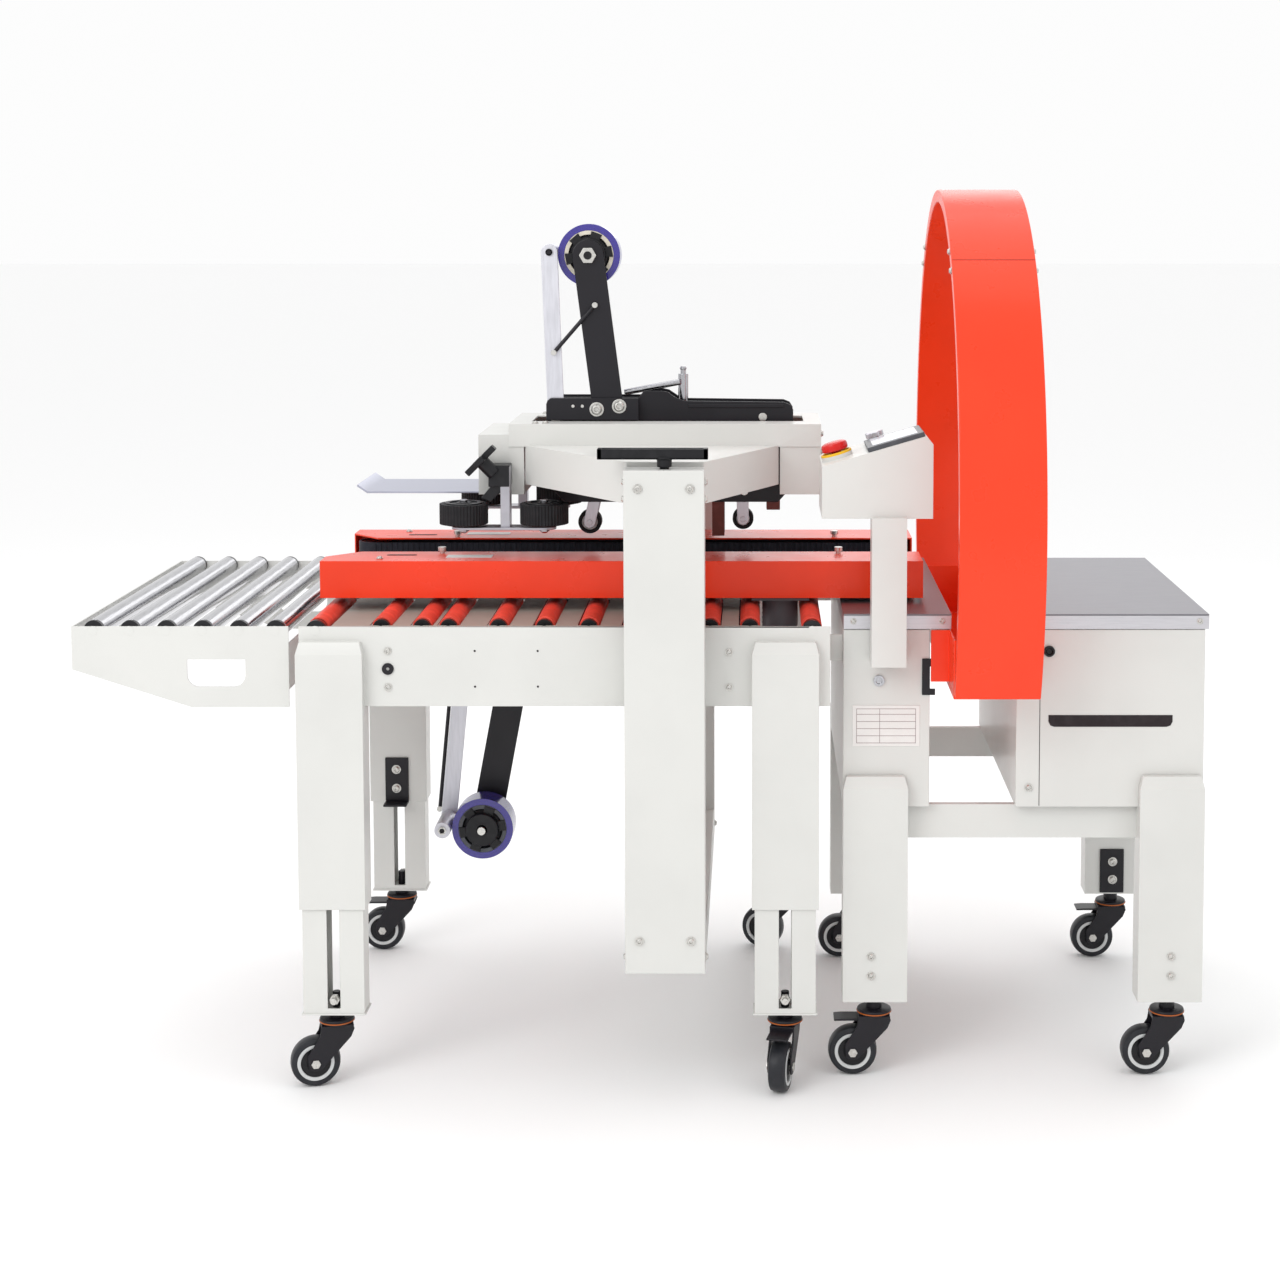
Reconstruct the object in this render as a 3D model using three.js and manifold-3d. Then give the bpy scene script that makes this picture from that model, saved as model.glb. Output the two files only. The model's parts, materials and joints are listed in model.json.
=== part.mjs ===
// Carton sealer with side drive belts, coupled to an arch strapping machine.
// Millimetres, +Z up, +X along the carton's travel, origin at the middle of the footprint on the floor.
import * as THREE from "three";
import { mergeVertices } from "three/addons/utils/BufferGeometryUtils.js";
import Module from "manifold-3d";

const wasm = await Module();
wasm.setup();

// ---- driving dimensions -------------------------------------------------------------------------
const GAP = 0.3; // between pieces that touch
const SHEET = 2.5; // folded steel sheet
const FINE = 18; // sides of a wheel or roller
const COARSE = 8; // sides of a rod or hole

const LINE = { left: -853, right: 853 }; // whole machine along X
const WIDTH = 318; // outer face of the conveyor side plates, each way from the middle
const ROLL_TOP = 711; // carton's underside
const FRAME_TOP = 702; // top of the side plates

const BED = { left: -514, right: 280, bottom: 581 };
const INFEED = { left: LINE.left, right: -529, bottom: 580, nose: 637, knee: -676 };
const HAND_HOLE = { left: -681, right: -594, bottom: 611, top: 652 };
const ROLLER = { radius: 15.5, stub: 5, hole: 5.5 };
const INFEED_ROLLS = 6;
const INFEED_PITCH = 54.4;
const BED_ROLLS = [-489, 253];
const DECK = { left: -468, right: 175, top: 700, slotX: 165, slotY: 42 };

const SLEEVE = { width: 100, depth: 52, bottom: 275, top: 680, outer: 336 };
const INNER = { width: 92, depth: 44, bottom: 112, top: 500, wall: 3 };
const LEG_X = { left: -466.5, right: 213 };
const LEG_SLOT = { width: 19, bottom: 122, top: 320 };
const CHAMFER = { rise: 18, set: 5 };

const WHEEL = { radius: 37.5, halfWidth: 13, bore: 6, axle: 5.5 };
const CASTER_TRAIL = 33;
const CASTER_NECK = 12;
const PEDAL_REACH = 30;

const LIFT = { left: -24, right: 94, inner: 340, outer: 390, bottom: 196, top: 944, tieTop: 246 };
const CRANK = { x: 35, y: -365, left: -64, right: 100, z: 968, shaft: 7 };
const HEAD = { left: -222, right: 272, width: 102, bottom: 954, top: 985, boxBottom: 873 };
const HEAD_BOXES = [[-270, -198, 968], [207, 271, 984]]; // left, right, top
const ARM = { rootLeft: -196, rootRight: 205, tipLeft: -22, tipRight: 92, bottom: 889, top: 951 };
const TAPE_SLOT = { left: -190, right: 245, half: 50 };
const SKI = { left: -449, right: -270.4, half: 84, top: 876, lip: 887 };

const TAPE = { radius: 50, bore: 8, halfWidth: 36, axle: 7 };
const TOP_ROLL = { x: -99, z: 1250 };
const LOW_ROLL = { x: -279, z: 312 };
const HEAD_PLATE = { inner: 26, outer: 31 };
const FOOT_COVER = { left: -167, right: -19, near: -51, back: -45.5, bottom: 986, top: 1022 };

const BELT = { left: -509, right: 429, inner: 75, outer: 175, bottom: 720, top: 778, chamfer: 48 };
const DRIVE = { left: -498, right: 418, inner: 79, outer: 139, bottom: 724, top: 770 };
const MOTOR = { x: 207, y: 125, radius: 28, bottom: 560 };

const PRESS = { radius: 38, bottom: 829, top: 865, y: 130, xs: [-290, -163.5], barTop: 827 };
const CLAMP = { left: -250, right: -216, z: 905, rod: 8 };
const CLAMP_X = (CLAMP.left + CLAMP.right) / 2;

const STRAP = { left: 301, right: 848, tableTop: 714, band: 23, near: -281, far: 275, legTop: 417 };
const STRAP_LEG = { width: 98, inner: 247, outer: 296, bottom: 119, apron: 280, apronTop: 467 };
const STRAP_BEAM = { bottom: 365, top: 417 };
const TABLES = { left: [301, 464], right: [531, LINE.right] };
const CABINET = { near: -279, far: 272, bottom: 417.3, top: 690 };
const CABINETS = { left: [301, 432], right: [563, 848] };

const ARCH = { left: 461, right: 587, z: 850, halfY: 437, halfZ: 505, wall: 20, cutZ: 605 };
const ARCH_BASE = { left: 461, right: 558, half: 358, bottom: 600, top: 688 };

const PANEL = { left: 267, right: 432, near: -320, far: -168, bottom: 864, low: 942, high: 987 };
const POST = { left: 341, right: 393, near: -330, far: -282, bottom: 642 };
const ESTOP = { x: 292, y: -262, base: 24, head: 20, stem: 8, travel: 5 };

// ---- solids -------------------------------------------------------------------------------------
function solid(geometry) {
  const bare = geometry.clone();
  bare.deleteAttribute("normal");
  bare.deleteAttribute("uv");
  const merged = mergeVertices(bare, 1e-4);
  const vertProperties = new Float32Array(merged.attributes.position.array);
  const triVerts = new Uint32Array(merged.index.array);
  return new wasm.Manifold(new wasm.Mesh({ numProp: 3, vertProperties, triVerts }));
}

function box(x, y, z) {
  const shape = new THREE.BoxGeometry(x[1] - x[0], y[1] - y[0], z[1] - z[0]);
  shape.translate((x[0] + x[1]) / 2, (y[0] + y[1]) / 2, (z[0] + z[1]) / 2);
  return solid(shape);
}

// A cylinder along X, Y or Z, from one end to the other, at (a, b) in the other two axes in order.
function rod(axis, radius, span, a, b, sides = COARSE) {
  const length = span[1] - span[0];
  const middle = (span[0] + span[1]) / 2;
  const shape = new THREE.CylinderGeometry(radius, radius, length, sides);
  if (axis === "x") shape.rotateZ(-Math.PI / 2).translate(middle, a, b);
  if (axis === "y") shape.translate(a, middle, b);
  if (axis === "z") shape.rotateX(Math.PI / 2).translate(a, b, middle);
  return solid(shape);
}

// An outline pushed along an axis: (x, z) points along Y, (y, z) along X, (x, y) along Z.
function slab(axis, points, span, holes = []) {
  const shape = points instanceof THREE.Shape ? points : new THREE.Shape(points.map(toVector));
  for (const hole of holes) shape.holes.push(hole);
  const settings = { depth: span[1] - span[0], bevelEnabled: false, curveSegments: COARSE };
  const body = new THREE.ExtrudeGeometry(shape, settings);
  if (axis === "x") body.rotateZ(Math.PI / 2).rotateY(Math.PI / 2).translate(span[0], 0, 0);
  if (axis === "y") body.rotateX(Math.PI / 2).translate(0, span[1], 0);
  if (axis === "z") body.translate(0, 0, span[0]);
  return solid(body);
}

function toVector(point) {
  return new THREE.Vector2(point[0], point[1]);
}

function join(...pieces) {
  return pieces.reduce((whole, piece) => whole.add(piece));
}

function cut(whole, ...tools) {
  return tools.reduce((left, tool) => left.subtract(tool), whole);
}

// Mirrors a span in Y for the far side of the machine.
function side(sign, from, to) {
  return sign < 0 ? [-to, -from] : [from, to];
}

// A post whose head is chamfered on its outer face and on both sides.
function post(x, sign, [inner, outer], [bottom, top]) {
  const shoulder = top - CHAMFER.rise;
  const section = [
    [inner, bottom], [outer, bottom], [outer, shoulder], [outer - CHAMFER.set, top], [inner, top],
  ];
  const front = [
    [x[0], bottom], [x[1], bottom], [x[1], shoulder], [x[1] - CHAMFER.set, top],
    [x[0] + CHAMFER.set, top], [x[0], shoulder],
  ];
  const body = slab("x", section.map(([y, z]) => [sign * y, z]), x);
  return body.intersect(slab("y", front, side(sign, inner, outer)));
}

function toGeometry(piece) {
  const mesh = piece.getMesh();
  const geometry = new THREE.BufferGeometry();
  geometry.setAttribute("position", new THREE.BufferAttribute(new Float32Array(mesh.vertProperties), 3));
  geometry.setIndex(new THREE.BufferAttribute(new Uint32Array(mesh.triVerts), 1));
  geometry.computeVertexNormals();
  return geometry;
}

// ---- finishes -----------------------------------------------------------------------------------
function finish(color, roughness, metalness) {
  return () => new THREE.MeshStandardMaterial({ color, roughness, metalness });
}
const cream = finish(0xe6e6e2, 0.45, 0.1);
const orange = finish(0xf25a34, 0.4, 0.1);
const black = finish(0x2b2830, 0.5, 0.2);
const steel = finish(0xb9b7c3, 0.3, 1.0);
const zinc = finish(0xc4c8cc, 0.25, 1.0);
const tyre = finish(0x1c1c1e, 0.8, 0.0);
const tapeBlue = finish(0x3c2da0, 0.3, 0.0);
const redRubber = finish(0xe1463c, 0.6, 0.0);
const deckGrey = finish(0xa59e96, 0.6, 0.3);
const signalRed = finish(0xc81a14, 0.35, 0.0);

const machine = new THREE.Group();

function add(name, piece, makeFinish, place) {
  const mesh = new THREE.Mesh(toGeometry(piece), makeFinish());
  mesh.name = name;
  if (place) {
    mesh.position.set(place.x, place.y, 0);
    mesh.rotation.z = place.yaw;
  }
  machine.add(mesh);
}

// ---- conveyor: infeed roller table ----------------------------------------------------------------
const infeedRollX = (index) => -821 + index * INFEED_PITCH;
const rollerZ = ROLL_TOP - ROLLER.radius;

function handHole() {
  const corner = 18;
  const hole = new THREE.Path();
  hole.moveTo(HAND_HOLE.left, HAND_HOLE.top);
  hole.lineTo(HAND_HOLE.left, HAND_HOLE.bottom + corner);
  hole.absarc(HAND_HOLE.left + corner, HAND_HOLE.bottom + corner, corner, Math.PI, Math.PI * 1.5);
  hole.absarc(HAND_HOLE.right - corner, HAND_HOLE.bottom + corner, corner, Math.PI * 1.5, Math.PI * 2);
  hole.lineTo(HAND_HOLE.right, HAND_HOLE.top);
  hole.closePath();
  return hole;
}

function infeedSide(sign) {
  const outline = [
    [INFEED.left, INFEED.nose], [INFEED.knee, INFEED.bottom], [INFEED.right, INFEED.bottom],
    [INFEED.right, FRAME_TOP], [INFEED.left, FRAME_TOP],
  ];
  return slab("y", outline, side(sign, WIDTH - SHEET, WIDTH), [handHole()]);
}

function infeedFrame() {
  const across = [-WIDTH + 1, WIDTH - 1];
  const nose = box([INFEED.left, INFEED.left + SHEET], across, [INFEED.nose, FRAME_TOP]);
  const heel = box([INFEED.right - 9, INFEED.right - 6], across, [600, 670]);
  const axles = [];
  for (let index = 0; index < INFEED_ROLLS; index += 1) {
    axles.push(rod("y", ROLLER.hole, [-WIDTH - 1, WIDTH + 1], infeedRollX(index), rollerZ));
  }
  return cut(join(infeedSide(-1), infeedSide(1), nose, heel), ...axles);
}

function roller(x) {
  const barrel = WIDTH - SHEET - 1;
  const stub = WIDTH - 0.5;
  return join(
    rod("y", ROLLER.radius, [-barrel, barrel], x, rollerZ, FINE),
    rod("y", ROLLER.stub, [-stub, stub], x, rollerZ),
  );
}

add("infeed_frame", infeedFrame(), cream);
for (let index = 0; index < INFEED_ROLLS; index += 1) {
  add(`infeed_roller_${index + 1}`, roller(infeedRollX(index)), zinc);
}

// ---- conveyor: sealer bed with its leg sleeves ----------------------------------------------------
function legSleeve(sign, x) {
  const across = [x - SLEEVE.width / 2, x + SLEEVE.width / 2];
  return post(across, sign, [SLEEVE.outer - SLEEVE.depth, SLEEVE.outer], [SLEEVE.bottom, SLEEVE.top]);
}

function legBore(sign, x) {
  const half = INNER.width / 2 + GAP;
  const inner = SLEEVE.outer - SLEEVE.depth / 2 - INNER.depth / 2 - GAP;
  const depth = side(sign, inner, inner + INNER.depth + 2 * GAP);
  return box([x - half, x + half], depth, [SLEEVE.bottom - 1, SLEEVE.top - 40]);
}

function bedSide(sign) {
  const plate = box([BED.left, BED.right], side(sign, WIDTH - SHEET, WIDTH), [BED.bottom, FRAME_TOP]);
  const guide = box(
    [LIFT.left + 10, LIFT.right - 10], side(sign, WIDTH - 1, LIFT.inner - GAP),
    [BED.bottom + 9, FRAME_TOP - 12],
  );
  const sleeves = Object.values(LEG_X).map((x) => legSleeve(sign, x));
  const bores = Object.values(LEG_X).map((x) => legBore(sign, x));
  const axles = BED_ROLLS.map((x) => rod("y", ROLLER.hole, side(sign, 300, WIDTH + 1), x, rollerZ));
  return cut(join(plate, guide, ...sleeves), ...bores, ...axles);
}

function deck() {
  const reach = WIDTH - SHEET - GAP;
  const ends = [DECK.left, DECK.right];
  const plate = box(ends, [-reach, reach], [DECK.top - 3, DECK.top]);
  const flanges = ends.map((x) => {
    const inward = x < 0 ? [x, x + SHEET] : [x - SHEET, x];
    return box(inward, [-60, 60], [640, DECK.top - 1]);
  });
  const tapeSlot = box([-DECK.slotX, DECK.slotX], [-DECK.slotY, DECK.slotY], [690, 710]);
  return cut(join(plate, ...flanges), tapeSlot);
}

add("bed_side_near", bedSide(-1), cream);
add("bed_side_far", bedSide(1), cream);
add("bed_deck", deck(), deckGrey);
add("bed_roller_left", roller(BED_ROLLS[0]), redRubber);
add("bed_roller_right", roller(BED_ROLLS[1]), redRubber);

// ---- legs -------------------------------------------------------------------------------------------
function legInner(sign, x) {
  const half = INNER.width / 2;
  const middle = SLEEVE.outer - SLEEVE.depth / 2;
  const depth = side(sign, middle - INNER.depth / 2, middle + INNER.depth / 2);
  const hollow = side(sign, middle - INNER.depth / 2 + INNER.wall, middle + INNER.depth / 2 - INNER.wall);
  const tube = box([x - half, x + half], depth, [INNER.bottom, INNER.top]);
  const insideX = [x - half + INNER.wall, x + half - INNER.wall];
  const inside = box(insideX, hollow, [INNER.bottom + 5, INNER.top + 1]);
  const slotX = [x - LEG_SLOT.width / 2, x + LEG_SLOT.width / 2];
  const through = side(sign, middle - INNER.depth, middle + INNER.depth);
  const slot = box(slotX, through, [LEG_SLOT.bottom, LEG_SLOT.top]);
  return cut(tube, inside, slot);
}

for (const [sign, depthName] of [[-1, "near"], [1, "far"]]) {
  for (const [sideName, x] of Object.entries(LEG_X)) {
    add(`leg_inner_${depthName}_${sideName}`, legInner(sign, x), cream);
  }
}

// ---- casters ----------------------------------------------------------------------------------------
function casterFork(top, braked) {
  const outline = [
    [-26, 90], [-24, 96], [24, 96], [26, 88], [-CASTER_TRAIL + 12, 27], [-CASTER_TRAIL - 10, 27],
    [-CASTER_TRAIL - 13, 48],
  ];
  const cheeks = [-1, 1].map((sign) => slab("y", outline, side(sign, 16, 19)));
  const crown = box([-25, 25], [-19, 19], [84, 96]);
  const race = rod("z", 27, [95, 101], 0, 0, FINE);
  const neck = rod("z", CASTER_NECK, [95, top - GAP], 0, 0);
  const axle = rod("y", WHEEL.axle, [-21, 21], -CASTER_TRAIL, WHEEL.radius);
  const fork = join(...cheeks, crown, race, neck, axle);
  if (!braked) return fork;
  return join(fork, box([-CASTER_TRAIL - PEDAL_REACH, -20], [-17, 17], [86, 90]));
}

function casterWheel() {
  const round = 4;
  const width = WHEEL.halfWidth;
  const profile = [
    [WHEEL.bore, -width - 1.5], [14, -width - 1.5], [WHEEL.radius - round, -width],
    [WHEEL.radius, -width + round], [WHEEL.radius, width - round], [WHEEL.radius - round, width],
    [14, width + 1.5], [WHEEL.bore, width + 1.5], [WHEEL.bore, -width - 1.5],
  ];
  const lathe = new THREE.LatheGeometry(profile.map(toVector), FINE);
  return solid(lathe.translate(-CASTER_TRAIL, 0, WHEEL.radius));
}

const degrees = Math.PI / 180;
const CASTERS = [
  { name: "sealer_near_left", x: LEG_X.left, y: -310, top: INNER.bottom, yaw: 14, braked: false },
  { name: "sealer_near_right", x: LEG_X.right, y: -310, top: INNER.bottom, yaw: 78, braked: true },
  { name: "sealer_far_left", x: LEG_X.left, y: 310, top: INNER.bottom, yaw: 0, braked: true },
  { name: "sealer_far_right", x: LEG_X.right, y: 310, top: INNER.bottom, yaw: -20, braked: false },
  { name: "strapper_near_left", x: 350, y: -271, top: STRAP_LEG.bottom, yaw: 0, braked: true },
  { name: "strapper_near_right", x: 799, y: -271, top: STRAP_LEG.bottom, yaw: 0, braked: false },
  { name: "strapper_far_left", x: 350, y: 271, top: STRAP_LEG.bottom, yaw: 0, braked: false },
  { name: "strapper_far_right", x: 799, y: 271, top: STRAP_LEG.bottom, yaw: 0, braked: true },
];
for (const caster of CASTERS) {
  const place = { x: caster.x, y: caster.y, yaw: caster.yaw * degrees };
  add(`caster_fork_${caster.name}`, casterFork(caster.top, caster.braked), black, place);
  add(`caster_wheel_${caster.name}`, casterWheel(), tyre, place);
}

// ---- lifting frame and head -------------------------------------------------------------------------
function mast(sign) {
  const x = [LIFT.left, LIFT.right];
  const shell = box(x, side(sign, LIFT.inner, LIFT.outer), [LIFT.bottom, LIFT.top]);
  const hollowX = [LIFT.left + 3, LIFT.right - 3];
  const hollow = box(hollowX, side(sign, LIFT.inner + 3, LIFT.outer - 3), [LIFT.bottom - 1, LIFT.top - 4]);
  return cut(shell, hollow);
}

function liftFrame() {
  const across = [-LIFT.inner - 1, LIFT.inner + 1];
  const tie = box([LIFT.left, LIFT.right], across, [LIFT.bottom, LIFT.tieTop]);
  const hollow = box(
    [LIFT.left + 3, LIFT.right - 3], [-LIFT.inner - 9, LIFT.inner + 9], [LIFT.bottom - 1, LIFT.tieTop - 3],
  );
  const bearing = rod("z", CRANK.shaft + 1, [LIFT.top - 10, LIFT.top + 1], CRANK.x, CRANK.y);
  return cut(join(mast(-1), mast(1), tie), hollow, bearing);
}

function crank() {
  const shaft = rod("z", CRANK.shaft, [LIFT.top - 9, CRANK.z], CRANK.x, CRANK.y);
  const hub = rod("z", 15, [LIFT.top + 1, CRANK.z - 6], CRANK.x, CRANK.y, FINE);
  const bar = box([CRANK.left + 10, CRANK.right], [CRANK.y - 7, CRANK.y + 7], [CRANK.z - 7, CRANK.z + 3]);
  const grip = rod("z", 10, [CRANK.z - 7, CRANK.z + 16], CRANK.left + 10, CRANK.y, FINE);
  return join(shaft, hub, bar, grip);
}

function headArm(sign) {
  const tip = LIFT.inner - GAP;
  const root = HEAD.width - 3;
  const outline = [[ARM.rootLeft, root], [ARM.rootRight, root], [ARM.tipRight, tip], [ARM.tipLeft, tip]];
  const inset = SHEET * 1.4;
  const inner = [
    [ARM.rootLeft + inset, root - 1], [ARM.rootRight - inset, root - 1],
    [ARM.tipRight - inset, tip - SHEET], [ARM.tipLeft + inset, tip - SHEET],
  ];
  const shell = slab("z", outline, [ARM.bottom, ARM.top]);
  const hollow = slab("z", inner, [ARM.bottom - 1, ARM.top - SHEET]);
  const arm = cut(shell, hollow);
  return sign > 0 ? arm : arm.mirror([0, 1, 0]);
}

function headFrame() {
  const wide = [-HEAD.width, HEAD.width];
  const inside = [-HEAD.width + SHEET, HEAD.width - SHEET];
  const channel = cut(
    box([HEAD.left, HEAD.right], wide, [HEAD.bottom - 5, HEAD.top]),
    box([HEAD.left + SHEET, HEAD.right - SHEET], inside, [HEAD.bottom - 6, HEAD.top - SHEET]),
  );
  const boxes = HEAD_BOXES.map(([left, right, top]) => cut(
    box([left, right], [-HEAD.width + 2, HEAD.width - 2], [HEAD.boxBottom, top]),
    box([left + SHEET, right - SHEET], [-HEAD.width + 5, HEAD.width - 5], [HEAD.boxBottom - 1, top - SHEET]),
  ));
  const slot = box([TAPE_SLOT.left, TAPE_SLOT.right], [-TAPE_SLOT.half, TAPE_SLOT.half], [800, 1000]);
  const guide = rod("y", CLAMP.rod + 0.5, [-120, 120], CLAMP_X, CLAMP.z);
  return cut(join(channel, ...boxes, headArm(-1), headArm(1)), slot, guide);
}

function flapSki() {
  const outline = [
    [SKI.left - 16, SKI.lip], [SKI.left, SKI.top], [SKI.right, SKI.top], [SKI.right, SKI.top - 3],
    [SKI.left - 1, SKI.top - 3], [SKI.left - 17, SKI.lip - 3],
  ];
  return slab("y", outline, [-SKI.half, SKI.half]);
}

add("lift_frame", liftFrame(), cream);
add("head_frame", headFrame(), cream);
add("lift_crank", crank(), black);
add("flap_ski", flapSki(), steel);

// ---- tape heads ---------------------------------------------------------------------------------------
// A flat arm with round ends between two points of the XZ plane.
function armPlate(from, to, halfWidth, span) {
  const length = Math.hypot(to.x - from.x, to.z - from.z);
  const along = Math.atan2(to.z - from.z, to.x - from.x);
  const shape = new THREE.Shape();
  shape.absarc(0, 0, halfWidth, Math.PI / 2, Math.PI * 1.5);
  shape.absarc(length, 0, halfWidth, -Math.PI / 2, Math.PI / 2);
  shape.closePath();
  const settings = { depth: span[1] - span[0], bevelEnabled: false, curveSegments: 6 };
  const body = new THREE.ExtrudeGeometry(shape, settings);
  body.rotateZ(along).rotateX(Math.PI / 2).translate(from.x, span[1], from.z);
  return solid(body);
}

function topTapeHead() {
  const outline = [
    [-167, 880], [-167, 1010], [-155, 1022], [-19, 1022], [-12, 1032], [25, 1032], [36, 1024],
    [218, 1014], [230, 1002], [230, 880], [205, 850], [-140, 850],
  ];
  const plates = [-1, 1].map((sign) => slab("y", outline, side(sign, HEAD_PLATE.inner, HEAD_PLATE.outer)));
  const spacers = [[-154, 982], [-45, 1005], [180, 990], [150, 870], [-110, 870]].map(
    ([x, z]) => rod("y", 7, [-HEAD_PLATE.outer - 3, HEAD_PLATE.outer + 3], x, z),
  );
  const foot = { x: -68, z: 1004 };
  const arm = armPlate(TOP_ROLL, foot, 25, [-46, -41]);
  const standoff = rod("y", 14, [-42, -HEAD_PLATE.inner - 1], foot.x, foot.z);
  const guideEnd = { x: -161, z: 1255 };
  const guideFoot = { x: -152, z: 1008 };
  const guideArm = armPlate(guideEnd, guideFoot, 13.5, [-46, -42]);
  const guideStandoff = rod("y", 9, [-43, -HEAD_PLATE.inner - 1], guideFoot.x, guideFoot.z);
  const guideRoll = rod("y", 10, [-43, 40], guideEnd.x, guideEnd.z);
  const axle = rod("y", TAPE.axle, [-42, 40], TOP_ROLL.x, TOP_ROLL.z);
  const footCover = box(
    [FOOT_COVER.left, FOOT_COVER.right], [FOOT_COVER.near, FOOT_COVER.back],
    [FOOT_COVER.bottom, FOOT_COVER.top],
  );
  return join(...plates, ...spacers, arm, standoff, guideArm, guideStandoff, guideRoll, axle, footCover);
}

function bottomTapeHead() {
  const outline = [[-330, 560], [-345, 600], [-160, 692], [150, 692], [160, 640], [140, 592], [-120, 592]];
  const plates = [-1, 1].map((sign) => slab("y", outline, side(sign, HEAD_PLATE.inner, HEAD_PLATE.outer)));
  const spacers = [[-100, 640], [110, 640], [-290, 590]].map(
    ([x, z]) => rod("y", 7, [-HEAD_PLATE.outer - 3, HEAD_PLATE.outer + 3], x, z),
  );
  const foot = { x: -226, z: 592 };
  const arm = armPlate(LOW_ROLL, foot, 24.5, [41, 46]);
  const standoff = rod("y", 14, [HEAD_PLATE.inner + 1, 42], foot.x, foot.z + 14);
  const guideEnd = { x: -343, z: 313 };
  const guideFoot = { x: -316, z: 578 };
  const guideArm = armPlate(guideEnd, guideFoot, 13.5, [42, 46]);
  const guideStandoff = rod("y", 9, [HEAD_PLATE.inner + 1, 43], guideFoot.x, guideFoot.z);
  const guideRoll = rod("y", 10, [-40, 43], guideEnd.x, guideEnd.z);
  const axle = rod("y", TAPE.axle, [-40, 42], LOW_ROLL.x, LOW_ROLL.z);
  return join(...plates, ...spacers, arm, standoff, guideArm, guideStandoff, guideRoll, axle);
}

function tapeRoll(place) {
  const ring = rod("y", TAPE.radius, [-TAPE.halfWidth, TAPE.halfWidth], place.x, place.z, FINE);
  const bore = rod("y", TAPE.bore, [-TAPE.halfWidth - 1, TAPE.halfWidth + 1], place.x, place.z, COARSE);
  return cut(ring, bore);
}

add("top_tape_head", topTapeHead(), black);
add("top_tape_roll", tapeRoll(TOP_ROLL), tapeBlue);
add("bottom_tape_head", bottomTapeHead(), black);
add("bottom_tape_roll", tapeRoll(LOW_ROLL), tapeBlue);

// ---- side belt units --------------------------------------------------------------------------------
function beltCover() {
  const outline = [
    [BELT.left, BELT.outer], [BELT.right, BELT.outer], [BELT.right, BELT.inner],
    [BELT.left + BELT.chamfer, BELT.inner], [BELT.left, BELT.outer - BELT.chamfer],
  ];
  const shell = slab("z", outline, [BELT.bottom, BELT.top]);
  const hollowX = [BELT.left + SHEET, BELT.right - SHEET];
  const hollow = box(hollowX, [BELT.inner - 1, BELT.outer - SHEET], [BELT.bottom - 1, BELT.top - SHEET]);
  const seat = box([MOTOR.x - 45, MOTOR.x + 45], [BELT.inner + 5, BELT.outer], [715, 721]);
  const motor = rod("z", MOTOR.radius, [MOTOR.bottom, 716], MOTOR.x, MOTOR.y, FINE);
  return join(cut(shell, hollow), seat, motor);
}

function driveBelt() {
  const radius = (DRIVE.outer - DRIVE.inner) / 2;
  const middle = (DRIVE.outer + DRIVE.inner) / 2;
  const run = new THREE.Shape();
  run.absarc(DRIVE.left + radius, middle, radius, Math.PI / 2, Math.PI * 1.5);
  run.absarc(DRIVE.right - radius, middle, radius, -Math.PI / 2, Math.PI / 2);
  run.closePath();
  return slab("z", run, [DRIVE.bottom, DRIVE.top]);
}

for (const [sign, name] of [[-1, "near"], [1, "far"]]) {
  const cover = beltCover();
  const belt = driveBelt();
  add(`belt_unit_${name}`, sign > 0 ? cover : cover.mirror([0, 1, 0]), orange);
  add(`drive_belt_${name}`, sign > 0 ? belt : belt.mirror([0, 1, 0]), black);
}

// ---- press wheels -----------------------------------------------------------------------------------
function pressCarrier(sign) {
  const [first, last] = PRESS.xs;
  const middle = side(sign, PRESS.y - 14, PRESS.y + 14);
  const bar = box([first - 20, last + 20], middle, [PRESS.barTop - 5, PRESS.barTop]);
  const riser = box([-231, CLAMP.right], middle, [PRESS.barTop - 1, CLAMP.z + 18]);
  const clamp = box([CLAMP.left, CLAMP.right], side(sign, 104, 144), [CLAMP.z - 16, CLAMP.z + 20]);
  const guide = rod("y", CLAMP.rod, side(sign, 22, 110), CLAMP_X, CLAMP.z);
  const axles = PRESS.xs.map((x) => rod("z", 6, [PRESS.barTop - 12, PRESS.top + 4], x, sign * PRESS.y));
  return join(bar, riser, clamp, guide, ...axles);
}

function pressWheel(x, y) {
  const tread = rod("z", PRESS.radius, [PRESS.bottom, PRESS.top], x, y, FINE);
  return cut(tread, rod("z", 6.8, [PRESS.bottom - 1, PRESS.top + 1], x, y));
}

for (const [sign, name] of [[-1, "near"], [1, "far"]]) {
  add(`press_carrier_${name}`, pressCarrier(sign), steel);
  PRESS.xs.forEach((x, index) => {
    const wheelName = `press_wheel_${name}_${index === 0 ? "left" : "right"}`;
    add(wheelName, pressWheel(x, sign * PRESS.y), tyre);
  });
}

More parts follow.
